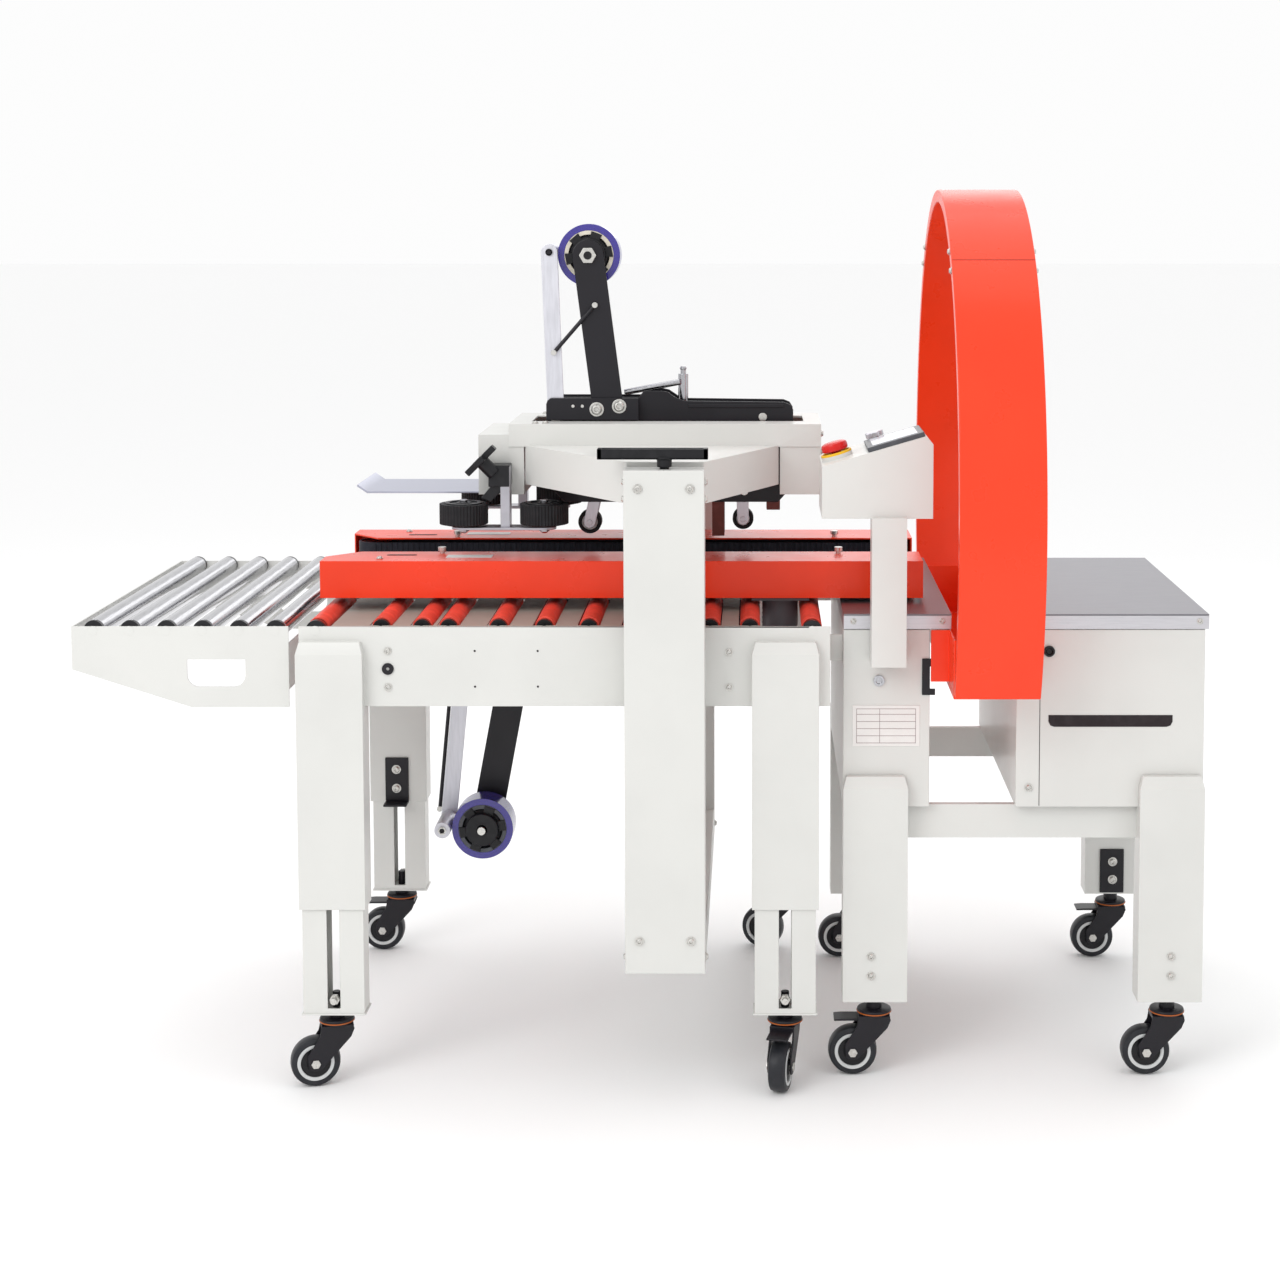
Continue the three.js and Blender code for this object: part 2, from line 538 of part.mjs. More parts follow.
// ---- strapping machine --------------------------------------------------------------------------------
function strapperBase() {
  const pieces = [];
  const legX = [[STRAP.left, STRAP.left + STRAP_LEG.width], [STRAP.right - STRAP_LEG.width, STRAP.right]];
  for (const sign of [-1, 1]) {
    const depth = side(sign, STRAP_LEG.inner, STRAP_LEG.outer);
    const hollow = side(sign, STRAP_LEG.inner + 3, STRAP_LEG.outer - 3);
    for (const x of legX) {
      const leg = box(x, depth, [STRAP_LEG.bottom, STRAP.legTop]);
      pieces.push(cut(leg, box([x[0] + 3, x[1] - 3], hollow, [STRAP_LEG.bottom + 5, STRAP.legTop + 1])));
      const apron = [STRAP_LEG.apron, STRAP_LEG.outer];
      pieces.push(post(x, sign, apron, [STRAP.legTop - 6, STRAP_LEG.apronTop]));
    }
    const beamX = [legX[0][1] - 2, legX[1][0] + 2];
    pieces.push(box(beamX, side(sign, 250, 262), [STRAP_BEAM.bottom, STRAP_BEAM.top]));
  }
  for (const x of legX) {
    const middle = (x[0] + x[1]) / 2;
    pieces.push(box([middle - 6, middle + 6], [-249, 249], [STRAP_BEAM.bottom, STRAP_BEAM.top - 1]));
  }
  return join(...pieces);
}

function cabinet([left, right]) {
  const shell = box([left, right], [CABINET.near, CABINET.far], [CABINET.bottom, CABINET.top]);
  const inside = box(
    [left + SHEET, right - SHEET], [CABINET.near + SHEET, CABINET.far - SHEET],
    [CABINET.bottom - 1, CABINET.top + 1],
  );
  return cut(shell, inside);
}

function table([left, right]) {
  const tray = box([left, right], [STRAP.near, STRAP.far], [STRAP.tableTop - STRAP.band, STRAP.tableTop]);
  const under = box(
    [left + SHEET, right - SHEET], [STRAP.near + SHEET, STRAP.far - SHEET],
    [STRAP.tableTop - STRAP.band - 1, STRAP.tableTop - SHEET],
  );
  return cut(tray, under);
}

function arch() {
  const start = Math.asin((ARCH.cutZ - ARCH.z) / ARCH.halfZ);
  const innerStart = Math.asin((ARCH.cutZ - ARCH.z) / (ARCH.halfZ - ARCH.wall));
  const steps = 40;
  const outline = [];
  for (let step = 0; step <= steps; step += 1) {
    const angle = start + ((Math.PI - 2 * start) * step) / steps;
    outline.push([ARCH.halfY * Math.cos(angle), ARCH.z + ARCH.halfZ * Math.sin(angle)]);
  }
  for (let step = steps; step >= 0; step -= 1) {
    const angle = innerStart + ((Math.PI - 2 * innerStart) * step) / steps;
    const innerY = ARCH.halfY - ARCH.wall;
    outline.push([innerY * Math.cos(angle), ARCH.z + (ARCH.halfZ - ARCH.wall) * Math.sin(angle)]);
  }
  return slab("x", outline, [ARCH.left, ARCH.right]);
}

function archBase() {
  const wide = [-ARCH_BASE.half, ARCH_BASE.half];
  const shell = box([ARCH_BASE.left, ARCH_BASE.right], wide, [ARCH_BASE.bottom, ARCH_BASE.top]);
  const track = box(
    [ARCH_BASE.left + 3, ARCH_BASE.right - 3], [-ARCH_BASE.half + 3, ARCH_BASE.half - 3],
    [ARCH_BASE.bottom + 3, ARCH_BASE.top + 1],
  );
  return cut(shell, track);
}

add("strapper_base", strapperBase(), cream);
add("cabinet_left", cabinet(CABINETS.left), cream);
add("cabinet_right", cabinet(CABINETS.right), cream);
add("table_left", table(TABLES.left), steel);
add("table_right", table(TABLES.right), steel);
add("arch", arch(), orange);
add("arch_base", archBase(), orange);

// ---- control box --------------------------------------------------------------------------------------
const slope = Math.atan2(PANEL.high - PANEL.low, PANEL.right - 10 - PANEL.left);

function panelZ(x) {
  return PANEL.low + (x - PANEL.left) * Math.tan(slope);
}

// A round piece standing square on the sloping panel, between two heights above it.
function onPanel(radius, from, to, sides = FINE) {
  const shape = new THREE.CylinderGeometry(radius, radius, to - from, sides);
  shape.translate(0, (from + to) / 2, 0).rotateX(Math.PI / 2);
  shape.rotateY(-slope).translate(ESTOP.x, ESTOP.y, panelZ(ESTOP.x));
  return solid(shape);
}

function controlBox() {
  const outline = [
    [PANEL.left, PANEL.bottom], [PANEL.right, PANEL.bottom], [PANEL.right, PANEL.high - 12],
    [PANEL.right - 10, PANEL.high], [PANEL.left, PANEL.low],
  ];
  const inside = [
    [PANEL.left + 3, PANEL.bottom + 3], [PANEL.right - 3, PANEL.bottom + 3],
    [PANEL.right - 3, PANEL.high - 18],
    [PANEL.right - 13, PANEL.high - 8], [PANEL.left + 3, PANEL.low - 4],
  ];
  const shell = cut(
    slab("y", outline, [PANEL.near, PANEL.far]),
    slab("y", inside, [PANEL.near + 3, PANEL.far - 3]),
    rod("y", 14, [PANEL.far - 9, PANEL.far + 1], 350, PANEL.bottom + 30),
  );
  const post = cut(
    box([POST.left, POST.right], [POST.near, POST.far], [POST.bottom, PANEL.bottom + 2]),
    box([POST.left + 3, POST.right - 3], [POST.near + 3, POST.far - 3], [POST.bottom - 1, PANEL.bottom - 3]),
  );
  return cut(join(shell, post, onPanel(ESTOP.base, -3, 6)), onPanel(ESTOP.stem + 1, -20, 20, COARSE));
}

function estopButton() {
  const foot = 6 + ESTOP.travel;
  return join(onPanel(ESTOP.head, foot, foot + 14), onPanel(ESTOP.stem, -2, foot + 1, COARSE));
}

add("control_box", controlBox(), cream);
add("estop_button", estopButton(), signalRed);

export default machine;
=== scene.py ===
"""Looks for a carton sealer docked to an arch strapping machine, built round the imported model."""
import json
import math

import bmesh
import bpy
from mathutils import Matrix, Vector


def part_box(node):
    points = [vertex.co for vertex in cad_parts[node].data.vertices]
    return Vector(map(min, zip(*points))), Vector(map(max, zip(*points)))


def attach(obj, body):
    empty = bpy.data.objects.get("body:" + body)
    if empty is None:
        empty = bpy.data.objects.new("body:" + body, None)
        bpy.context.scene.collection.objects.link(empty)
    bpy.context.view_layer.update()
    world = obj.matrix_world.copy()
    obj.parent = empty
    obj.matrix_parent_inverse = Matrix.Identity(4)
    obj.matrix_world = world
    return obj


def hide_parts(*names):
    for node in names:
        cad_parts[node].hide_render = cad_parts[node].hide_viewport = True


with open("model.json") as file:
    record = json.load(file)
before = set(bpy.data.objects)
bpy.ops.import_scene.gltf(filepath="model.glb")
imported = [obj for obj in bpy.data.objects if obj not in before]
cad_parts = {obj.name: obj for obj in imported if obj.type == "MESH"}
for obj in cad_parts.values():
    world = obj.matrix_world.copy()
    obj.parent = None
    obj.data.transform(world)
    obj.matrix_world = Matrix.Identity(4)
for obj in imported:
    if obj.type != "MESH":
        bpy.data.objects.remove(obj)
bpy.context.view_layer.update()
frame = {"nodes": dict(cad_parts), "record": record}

MM = 0.001
NODES = frame["nodes"]
BEHAVIOUR = frame["record"]["behaviour"]
JOINTS = {joint["name"]: joint for joint in BEHAVIOUR["joints"]}
BODY_OF = {node: body for body, nodes in BEHAVIOUR["bodies"].items() for node in nodes}
MAIN = "main_frame"
SIDES = ((-1, "near"), (1, "far"))
SIDE_FACE = 318.0  # outer face of the conveyor's side plates, each way from the middle
WELD = 0.02 * MM  # corners closer than this are joined
FLAT = math.radians(1.0)  # faces closer than this to one plane are merged
SHARP = math.radians(38)  # edges over this stay sharp, and are the ones rounded


def span(node):
    """The lowest and highest corners of a CAD node, in millimetres."""
    low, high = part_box(node)
    return Vector(low) / MM, Vector(high) / MM


def link(thing):
    bpy.context.scene.collection.objects.link(thing)


def joint_at(name):
    """The point that a hinge turns about, in millimetres."""
    return Vector(JOINTS[name]["pos_m"]) / MM


# ---- materials ----
def new_material(name, color, roughness, metallic=0.0):
    """A material with its shader, and its object coordinates to feed the textures."""
    material = bpy.data.materials.new(name)
    material.use_nodes = True
    tree = material.node_tree
    shader = tree.nodes["Principled BSDF"]
    shader.inputs["Base Color"].default_value = (*color, 1.0)
    shader.inputs["Roughness"].default_value = roughness
    shader.inputs["Metallic"].default_value = metallic
    coords = tree.nodes.new("ShaderNodeTexCoord")
    return material, tree, shader, coords


def add_noise(tree, coords, scale, detail=4.0, stretch=(1, 1, 1)):
    """Noise in the object's own space, with its scale in waves a metre."""
    mapping = tree.nodes.new("ShaderNodeMapping")
    mapping.inputs["Scale"].default_value = stretch
    noise = tree.nodes.new("ShaderNodeTexNoise")
    noise.inputs["Scale"].default_value = scale
    noise.inputs["Detail"].default_value = detail
    tree.links.new(coords.outputs["Object"], mapping.inputs["Vector"])
    tree.links.new(mapping.outputs["Vector"], noise.inputs["Vector"])
    return noise.outputs["Fac"]


def add_ramp(tree, factor, dark, light, low=0.3, high=0.7):
    """Blends two colours as the factor goes from low to high."""
    ramp = tree.nodes.new("ShaderNodeValToRGB")
    ramp.color_ramp.elements[0].position = low
    ramp.color_ramp.elements[1].position = high
    ramp.color_ramp.elements[0].color = (*dark, 1.0)
    ramp.color_ramp.elements[1].color = (*light, 1.0)
    tree.links.new(factor, ramp.inputs["Fac"])
    return ramp.outputs["Color"]


def add_range(tree, factor, low, high):
    remap = tree.nodes.new("ShaderNodeMapRange")
    remap.inputs["To Min"].default_value = low
    remap.inputs["To Max"].default_value = high
    tree.links.new(factor, remap.inputs["Value"])
    return remap.outputs["Result"]


def add_bump(tree, shader, height, distance, strength=1.0):
    bump = tree.nodes.new("ShaderNodeBump")
    bump.inputs["Distance"].default_value = distance
    bump.inputs["Strength"].default_value = strength
    tree.links.new(height, bump.inputs["Height"])
    tree.links.new(bump.outputs["Normal"], shader.inputs["Normal"])


def shade(color, factor):
    return tuple(channel * factor for channel in color)


def powder_coat(name, color, roughness=0.34, mottling=0.05):
    """Powder coat: fine orange peel, faint mottling, and slightly duller patches where it is handled."""
    material, tree, shader, coords = new_material(name, color, roughness)
    tint = add_ramp(tree, add_noise(tree, coords, 7.0), shade(color, 1 - mottling), color, 0.25, 0.6)
    tree.links.new(tint, shader.inputs["Base Color"])
    dull = add_range(tree, add_noise(tree, coords, 22.0, detail=6.0), roughness - 0.07, roughness + 0.1)
    tree.links.new(dull, shader.inputs["Roughness"])
    add_bump(tree, shader, add_noise(tree, coords, 620.0, detail=2.0), distance=0.00025, strength=0.22)
    shader.inputs["Specular IOR Level"].default_value = 0.3
    shader.inputs["Coat Weight"].default_value = 0.1
    shader.inputs["Coat Roughness"].default_value = 0.1
    return material


def brushed(name, color, roughness, stretch, bump=0.12, contrast=0.18):
    """Brushed or rolled metal, with its grain running along the axis that isn't stretched."""
    material, tree, shader, coords = new_material(name, color, roughness, 1.0)
    grain = add_noise(tree, coords, 30.0, detail=5.0, stretch=stretch)
    tint = add_ramp(tree, grain, shade(color, 1 - contrast), color, 0.3, 0.65)
    tree.links.new(tint, shader.inputs["Base Color"])
    tree.links.new(add_range(tree, grain, roughness - 0.08, roughness + 0.14), shader.inputs["Roughness"])
    add_bump(tree, shader, grain, distance=0.00012, strength=bump)
    return material


def moulded(name, color, roughness, grain_scale=480.0, grain=0.2, mottling=0.25):
    """Rubber or plastic with a fine moulded grain and a few paler scuffs."""
    material, tree, shader, coords = new_material(name, color, roughness)
    pale = tuple(min(1.0, channel * (1 + mottling) + 0.006) for channel in color)
    tint = add_ramp(tree, add_noise(tree, coords, 60.0, detail=8.0), color, pale, 0.45, 0.75)
    tree.links.new(tint, shader.inputs["Base Color"])
    rough = add_range(tree, add_noise(tree, coords, 130.0, detail=5.0), roughness - 0.08, roughness + 0.1)
    tree.links.new(rough, shader.inputs["Roughness"])
    add_bump(tree, shader, add_noise(tree, coords, grain_scale, detail=2.0), distance=0.0002, strength=grain)
    shader.inputs["Specular IOR Level"].default_value = 0.3
    return material


def wound_film(name, color, edge):
    """Tape film: glossy, with a fine grain between two tones of its colour."""
    material, tree, shader, coords = new_material(name, color, 0.22)
    grain = tree.nodes.new("ShaderNodeTexNoise")
    grain.inputs["Scale"].default_value = 900.0
    tree.links.new(coords.outputs["Object"], grain.inputs["Vector"])
    tint = add_ramp(tree, grain.outputs["Fac"], color, edge, 0.35, 0.75)
    tree.links.new(tint, shader.inputs["Base Color"])
    add_bump(tree, shader, grain.outputs["Fac"], distance=0.0002, strength=0.3)
    shader.inputs["Coat Weight"].default_value = 0.5
    return material


# Each finish is a record slot with the material that is shown.
CREAM = "cream_paint", powder_coat("cream_powder_coat", (0.665, 0.665, 0.64), 0.36)
ORANGE = "orange_paint", powder_coat("orange_powder_coat", (0.90, 0.048, 0.010), 0.28, 0.1)
BLACK_STEEL = "black_steel", powder_coat("black_oxide_steel", (0.008, 0.007, 0.011), 0.4, 0.3)
STAINLESS = "stainless", brushed("brushed_stainless", (0.46, 0.45, 0.49), 0.34, (1, 26, 1))
TABLE_STEEL = "stainless", brushed("table_sheet_steel", (0.25, 0.245, 0.265), 0.42, (1, 24, 1), 0.1, 0.1)
BAND_STEEL = "stainless", brushed("table_band_steel", (0.62, 0.61, 0.64), 0.36, (1, 1, 20), 0.08, 0.1)
SHEET_STEEL = "stainless", brushed("stainless_sheet", (0.44, 0.45, 0.54), 0.3, (1, 22, 1), 0.04, 0.08)
ZINC = "stainless", brushed("bright_zinc_tube", (0.50, 0.50, 0.525), 0.13, (14, 1, 14), 0.04, 0.22)
BOLT_STEEL = "stainless", brushed("plated_fastener", (0.66, 0.65, 0.62), 0.26, (9, 9, 9), 0.1)
ALUMINIUM = "stainless", brushed("pale_aluminium_arm", (0.68, 0.68, 0.73), 0.42, (10, 10, 1), 0.06, 0.12)
MOTOR_GREY = "black_steel", powder_coat("grey_motor_paint", (0.09, 0.09, 0.10), 0.4, 0.12)
RUBBER = "black_rubber", moulded("black_rubber", (0.009, 0.009, 0.011), 0.58)
BELT_RUBBER = "drive_rubber", moulded("drive_belt_rubber", (0.014, 0.015, 0.024), 0.5, 300.0, 0.4)
TYRE = "caster_tyre", moulded("polyurethane_tyre", (0.016, 0.017, 0.021), 0.4, 260.0, 0.15)
RIM = "stainless", moulded("grey_wheel_rim", (0.56, 0.57, 0.57), 0.4, 200.0, 0.1, 0.1)
PLASTIC = "black_rubber", moulded("black_moulded_plastic", (0.007, 0.007, 0.009), 0.34, 380.0, 0.25)
FRAME_GREY = "black_rubber", moulded("dark_grey_bezel", (0.075, 0.08, 0.09), 0.35, 380.0, 0.2)
# red sleeve colour: a painted reflection of the orange belt covers above the rollers, not the colour of the
# rollers themselves
PAINTED_RED_REFLECTION = "red_rubber", moulded("painted_red_reflection_sleeve", (0.71, 0.065, 0.04), 0.45, 300.0, 0.25)
DECK = "deck_grey", powder_coat("grey_beige_deck", (0.35, 0.325, 0.285), 0.46, 0.16)
TAPE = "blue_tape", wound_film("blue_tape_film", (0.026, 0.016, 0.22), (0.05, 0.035, 0.32))
CARD = "deck_grey", moulded("tape_core_card", (0.60, 0.56, 0.47), 0.75, 500.0, 0.5)
RACE = "orange_paint", powder_coat("orange_swivel_race", (0.50, 0.12, 0.02), 0.3, 0.2)
SIGNAL_RED = "signal_red", moulded("signal_red_button", (0.62, 0.012, 0.010), 0.25, 300.0, 0.05, 0.05)
SIGNAL_YELLOW = "orange_paint", moulded("signal_yellow_ring", (0.85, 0.50, 0.02), 0.35, 300.0, 0.1, 0.05)
SCREEN = "stainless", moulded("blank_display", (0.60, 0.63, 0.68), 0.12, 900.0, 0.02, 0.03)
# brown: the end block's own colour, and also painted shade on the plate that stands for the far mast column
# in shadow
BROWN = "deck_grey", moulded("phenolic_brown_and_painted_shade", (0.16, 0.045, 0.035), 0.5, 250.0, 0.3)
PLATE_WHITE = "stainless", moulded("blank_rating_plate", (0.74, 0.72, 0.70), 0.3, 600.0, 0.08, 0.03)
PLATE_LINE = "stainless", moulded("rating_plate_rule", (0.30, 0.22, 0.23), 0.4, 600.0, 0.05, 0.03)
# near black: painted shade for the pin holes and slots drawn as thin dark sheets, and the real dark of the
# seams
DARK = "black_rubber", moulded("painted_shade_and_seam_dark", (0.02, 0.014, 0.016), 0.7)


# ---- mesh kit ----
def to_space(axis, a, b, along):
    """A point from the plane square to an axis and the distance along it, millimetres to metres."""
    places = {"x": (along, a, b), "y": (a, along, b), "z": (a, b, along)}
    return Vector(places[axis]) * MM


class Piece:
    """One object's mesh, gathered from simple closed forms and then given rounded edges."""

    def __init__(self, name, body, finish, bevel=0.8, steps=2):
        self.name, self.body = name, body
        self.slot, self.material = finish
        self.bevel, self.steps = bevel, steps
        self.mesh = bmesh.new()

    def box(self, x, y, z):
        return self.prism("z", [(x[0], y[0]), (x[1], y[0]), (x[1], y[1]), (x[0], y[1])], z)

    def prism(self, axis, outline, along):
        ends = [[self.mesh.verts.new(to_space(axis, a, b, end)) for a, b in outline] for end in along]
        self.mesh.faces.new(ends[0])
        self.mesh.faces.new(ends[1][::-1])
        count = len(outline)
        for index in range(count):
            after = (index + 1) % count
            self.mesh.faces.new((ends[0][index], ends[0][after], ends[1][after], ends[1][index]))
        return self

    def lathe(self, axis, profile, a, b, segments=56, closed=False):
        """Turns (radius, distance along) points about an axis through (a, b)."""
        rings = []
        for radius, along in profile:
            if radius == 0:
                rings.append([self.mesh.verts.new(to_space(axis, a, b, along))])
                continue
            turns = [2 * math.pi * step / segments for step in range(segments)]
            rings.append([
                self.mesh.verts.new(to_space(axis, a + radius * math.cos(t), b + radius * math.sin(t), along))
                for t in turns
            ])
        pairs = list(zip(rings, rings[1:] + rings[:1])) if closed else list(zip(rings, rings[1:]))
        for first, second in pairs:
            self.bridge(first, second, segments)
        return self

    def bridge(self, first, second, segments):
        for index in range(segments):
            after = (index + 1) % segments
            corners = [first[index % len(first)], second[index % len(second)]]
            if len(second) > 1:
                corners.append(second[after])
            if len(first) > 1:
                corners.append(first[after])
            self.mesh.faces.new(corners)

    def rod(self, axis, radius, along, a, b, segments=40):
        low, high = along
        return self.lathe(axis, [(0, low), (radius, low), (radius, high), (0, high)], a, b, segments)

    def tube(self, axis, outer, inner, along, a, b, segments=48):
        low, high = along
        profile = [(inner, low), (outer, low), (outer, high), (inner, high)]
        return self.lathe(axis, profile, a, b, segments, closed=True)

    def hexagon(self, axis, across, along, a, b):
        radius = across / math.sqrt(3)
        return self.rod(axis, radius, along, a, b, 6)

    def bolt(self, axis, a, b, face, way, radius=6.0):
        """A washer and a domed head with a socket, standing on a face and pointing the way given."""
        washer, washer_top = radius * 1.35, face + way * 1.2
        self.lathe(axis, [(0, face), (washer, face), (washer, washer_top), (0, washer_top)], a, b, 28)
        seat, shoulder = face + way * 0.6, face + way * radius * 0.55
        top, socket = face + way * radius * 0.9, face + way * radius * 0.35
        return self.lathe(axis, [
            (0, seat), (radius, seat), (radius, shoulder), (radius * 0.72, top), (radius * 0.46, top),
            (radius * 0.42, socket), (0, socket),
        ], a, b, 24)

    def path(self, points, radius, segments=16):
        """A round bar through the points given, with flat ends."""
        places = [Vector(point) for point in points]
        rings = []
        for index, place in enumerate(places):
            ahead = places[min(index + 1, len(places) - 1)] - places[max(index - 1, 0)]
            turn = ahead.normalized().to_track_quat("Z", "Y")
            ring = []
            for step in range(segments):
                t = 2 * math.pi * step / segments
                offset = turn @ Vector((radius * math.cos(t), radius * math.sin(t), 0))
                ring.append(self.mesh.verts.new((place + offset) * MM))
            rings.append(ring)
        for first, second in zip(rings, rings[1:]):
            self.bridge(first, second, segments)
        self.mesh.faces.new(rings[0])
        self.mesh.faces.new(rings[-1])
        return self

    def turned(self, matrix):
        bmesh.ops.transform(self.mesh, matrix=matrix, verts=self.mesh.verts)
        return self

    def take(self, node):
        """Takes a CAD node's faces, with its doubled corners joined."""
        self.mesh.from_mesh(NODES[node].data)
        bmesh.ops.remove_doubles(self.mesh, verts=self.mesh.verts, dist=WELD)
        return self

    def merge_flat(self):
        """Merges the triangles that lie in one plane."""
        bmesh.ops.dissolve_limit(self.mesh, angle_limit=FLAT, verts=self.mesh.verts, edges=self.mesh.edges)
        return self

    def done(self, *replaced):
        bmesh.ops.recalc_face_normals(self.mesh, faces=self.mesh.faces)
        data = bpy.data.meshes.new(self.name)
        self.mesh.to_mesh(data)
        self.mesh.free()
        return finish_piece(data, self, replaced)


def finish_piece(data, plan, replaced):
    data.materials.append(plan.material)
    data.shade_smooth()
    data.set_sharp_from_angle(angle=SHARP)
    piece = bpy.data.objects.new(plan.name, data)
    link(piece)
    if plan.bevel:
        rounding = piece.modifiers.new("rounded_edges", "BEVEL")
        rounding.width = plan.bevel * MM
        rounding.segments = plan.steps
        rounding.limit_method = "ANGLE"
        rounding.angle_limit = SHARP
        rounding.harden_normals = True
    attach(piece, plan.body)
    if replaced:
        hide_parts(*replaced)
    return piece


def refined(node, finish, bevel=1.2, steps=3):
    """A rounded copy of a CAD node, which stands for it."""
    shell = Piece(node + "_shell", BODY_OF[node], finish, bevel, steps)
    return shell.take(node).merge_flat().done(node)


def mirrored(sign, low, high):
    """A span in Y on the near side (-1) or the far side (1)."""
    return (low, high) if sign > 0 else (-high, -low)


# ---- camera, floor and light ----
CAMERA_PLACE = (168.2, -3581.0, 1309.3)
CAMERA_PITCH = 4.552
CAMERA_LENS = 62.23
CAMERA_SHIFT = (-0.0902, -0.192)
FLOOR_REACH = 60.0
WORLD_STRENGTH = 0.98
LIGHT_AIM = (0.0, 0.0, 0.7)
LIGHTS = (  # name, place and size in metres, power in watts
    ("key_light", (-2.4, -3.4, 3.2), 2.4, 66),
    ("fill_light", (3.2, -2.4, 2.2), 2.2, 6),
    ("top_light", (0.2, 0.6, 4.2), 3.2, 26),
    ("back_light", (0.8, 3.8, 2.6), 2.4, 16),
)


def make_stage():
    camera = bpy.data.objects.new("camera", bpy.data.cameras.new("camera"))
    link(camera)
    camera.location = Vector(CAMERA_PLACE) * MM
    camera.rotation_euler = (math.radians(90 - CAMERA_PITCH), 0, 0)
    camera.data.lens = CAMERA_LENS
    camera.data.shift_x, camera.data.shift_y = CAMERA_SHIFT
    bpy.context.scene.camera = camera

    floor_mesh = bpy.data.meshes.new("floor")
    edge = FLOOR_REACH
    corners = [(-edge, -edge, 0), (edge, -edge, 0), (edge, edge, 0), (-edge, edge, 0)]
    floor_mesh.from_pydata(corners, [], [(0, 1, 2, 3)])
    floor = bpy.data.objects.new("floor", floor_mesh)
    link(floor)
    pale = new_material("pale_floor", (0.97, 0.97, 0.97), 0.8)[0]
    floor_mesh.materials.append(pale)

    world = bpy.data.worlds.new("studio")
    world.use_nodes = True
    sky = world.node_tree.nodes["Background"]
    sky.inputs["Color"].default_value = (1.0, 1.0, 1.0, 1.0)
    sky.inputs["Strength"].default_value = WORLD_STRENGTH
    bpy.context.scene.world = world
    for name, place, size, power in LIGHTS:
        add_light(name, place, size, power)
    bpy.context.scene.view_settings.view_transform = "Standard"


def add_light(name, place, size, power):
    data = bpy.data.lights.new(name, "AREA")
    data.energy = power
    data.size = size
    light = bpy.data.objects.new(name, data)
    light.location = place
    aim = Vector(LIGHT_AIM) - light.location
    light.rotation_euler = aim.to_track_quat("-Z", "Y").to_euler()
    link(light)


# ---- conveyor ----
ROLLER_END, CAP_DEPTH = 3.0, 9.0  # from the axle's tip, and from the roller's end
AXLE_COVER, AXLE_COVER_RISE = 7.2, 0.4
SLEEVE_START, SLEEVE_INSET = 60, 14


def make_roller(node, sleeve):
    """A zinc tube with black end caps on a steel axle, or the same with a red sleeve whose red is a painted
    reflection of the orange cover above it.
    """
    low, high = span(node)
    centre = (low + high) / 2
    radius = (high.z - low.z) / 2
    end = high.y - ROLLER_END
    cap = end - CAP_DEPTH
    x, z = centre.x, centre.z
    body = BODY_OF[node]
    core = Piece(node + "_axle", body, BOLT_STEEL, 0.5)
    core.rod("y", 4.9, (low.y, high.y), x, z, 6)
    covers = Piece(node + "_axle_covers", MAIN, CREAM, 0.3, 1)
    for way in (-1, 1):
        covers.rod("y", AXLE_COVER, mirrored(way, SIDE_FACE, SIDE_FACE + AXLE_COVER_RISE), x, z, 24)
    covers.done()
    caps = Piece(node + "_end_caps", body, PLASTIC, 0.8)
    barrel = Piece(node + "_tube", body, ("zinc_roller", ZINC[1]), 0.7)
    barrel.tube("y", radius - (2.4 if sleeve else 0.3), radius - 3.6, (-cap, cap), x, z)
    for way in (-1, 1):
        caps.tube("y", radius - 0.6, 5.2, mirrored(way, cap + 0.2, end), x, z)
    if sleeve:
        for sign, side_name in SIDES:
            # the sleeve's red is a painted reflection of the orange cover above
            rubber = Piece(f"{node}_sleeve_{side_name}", body, PAINTED_RED_REFLECTION, 1.0)
            rubber.tube("y", radius, radius - 2.3, mirrored(sign, SLEEVE_START, cap - SLEEVE_INSET), x, z)
            rubber.done()
    core.done()
    caps.done()
    barrel.done(node)


ROLL_TOP = 711.0  # the carton's underside
DECK_SHEET = 2.5
IDLERS = (-394, -333, -293, -218, -149, -82, -16, 51, 100, 160)
IDLER_RADIUS, IDLER_AXLE = 15.2, 4.8
IDLER_SLEEVE, IDLER_AXLE_ENDS = (74, 286), (56, 304)
IDLER_HUBS = ((62, 73.6), (286.4, 296))
IDLER_SLOT, IDLER_SLOT_HALF = (58.0, 298.0), 17.0
TAPE_SLOT_HALF, TAPE_SLOT_START, TAPE_SLOT_END = 42.0, 150, 165
DECK_FLANGE_LEFT, DECK_FLANGE_RIGHT = 650, 640
LAP = 0.1


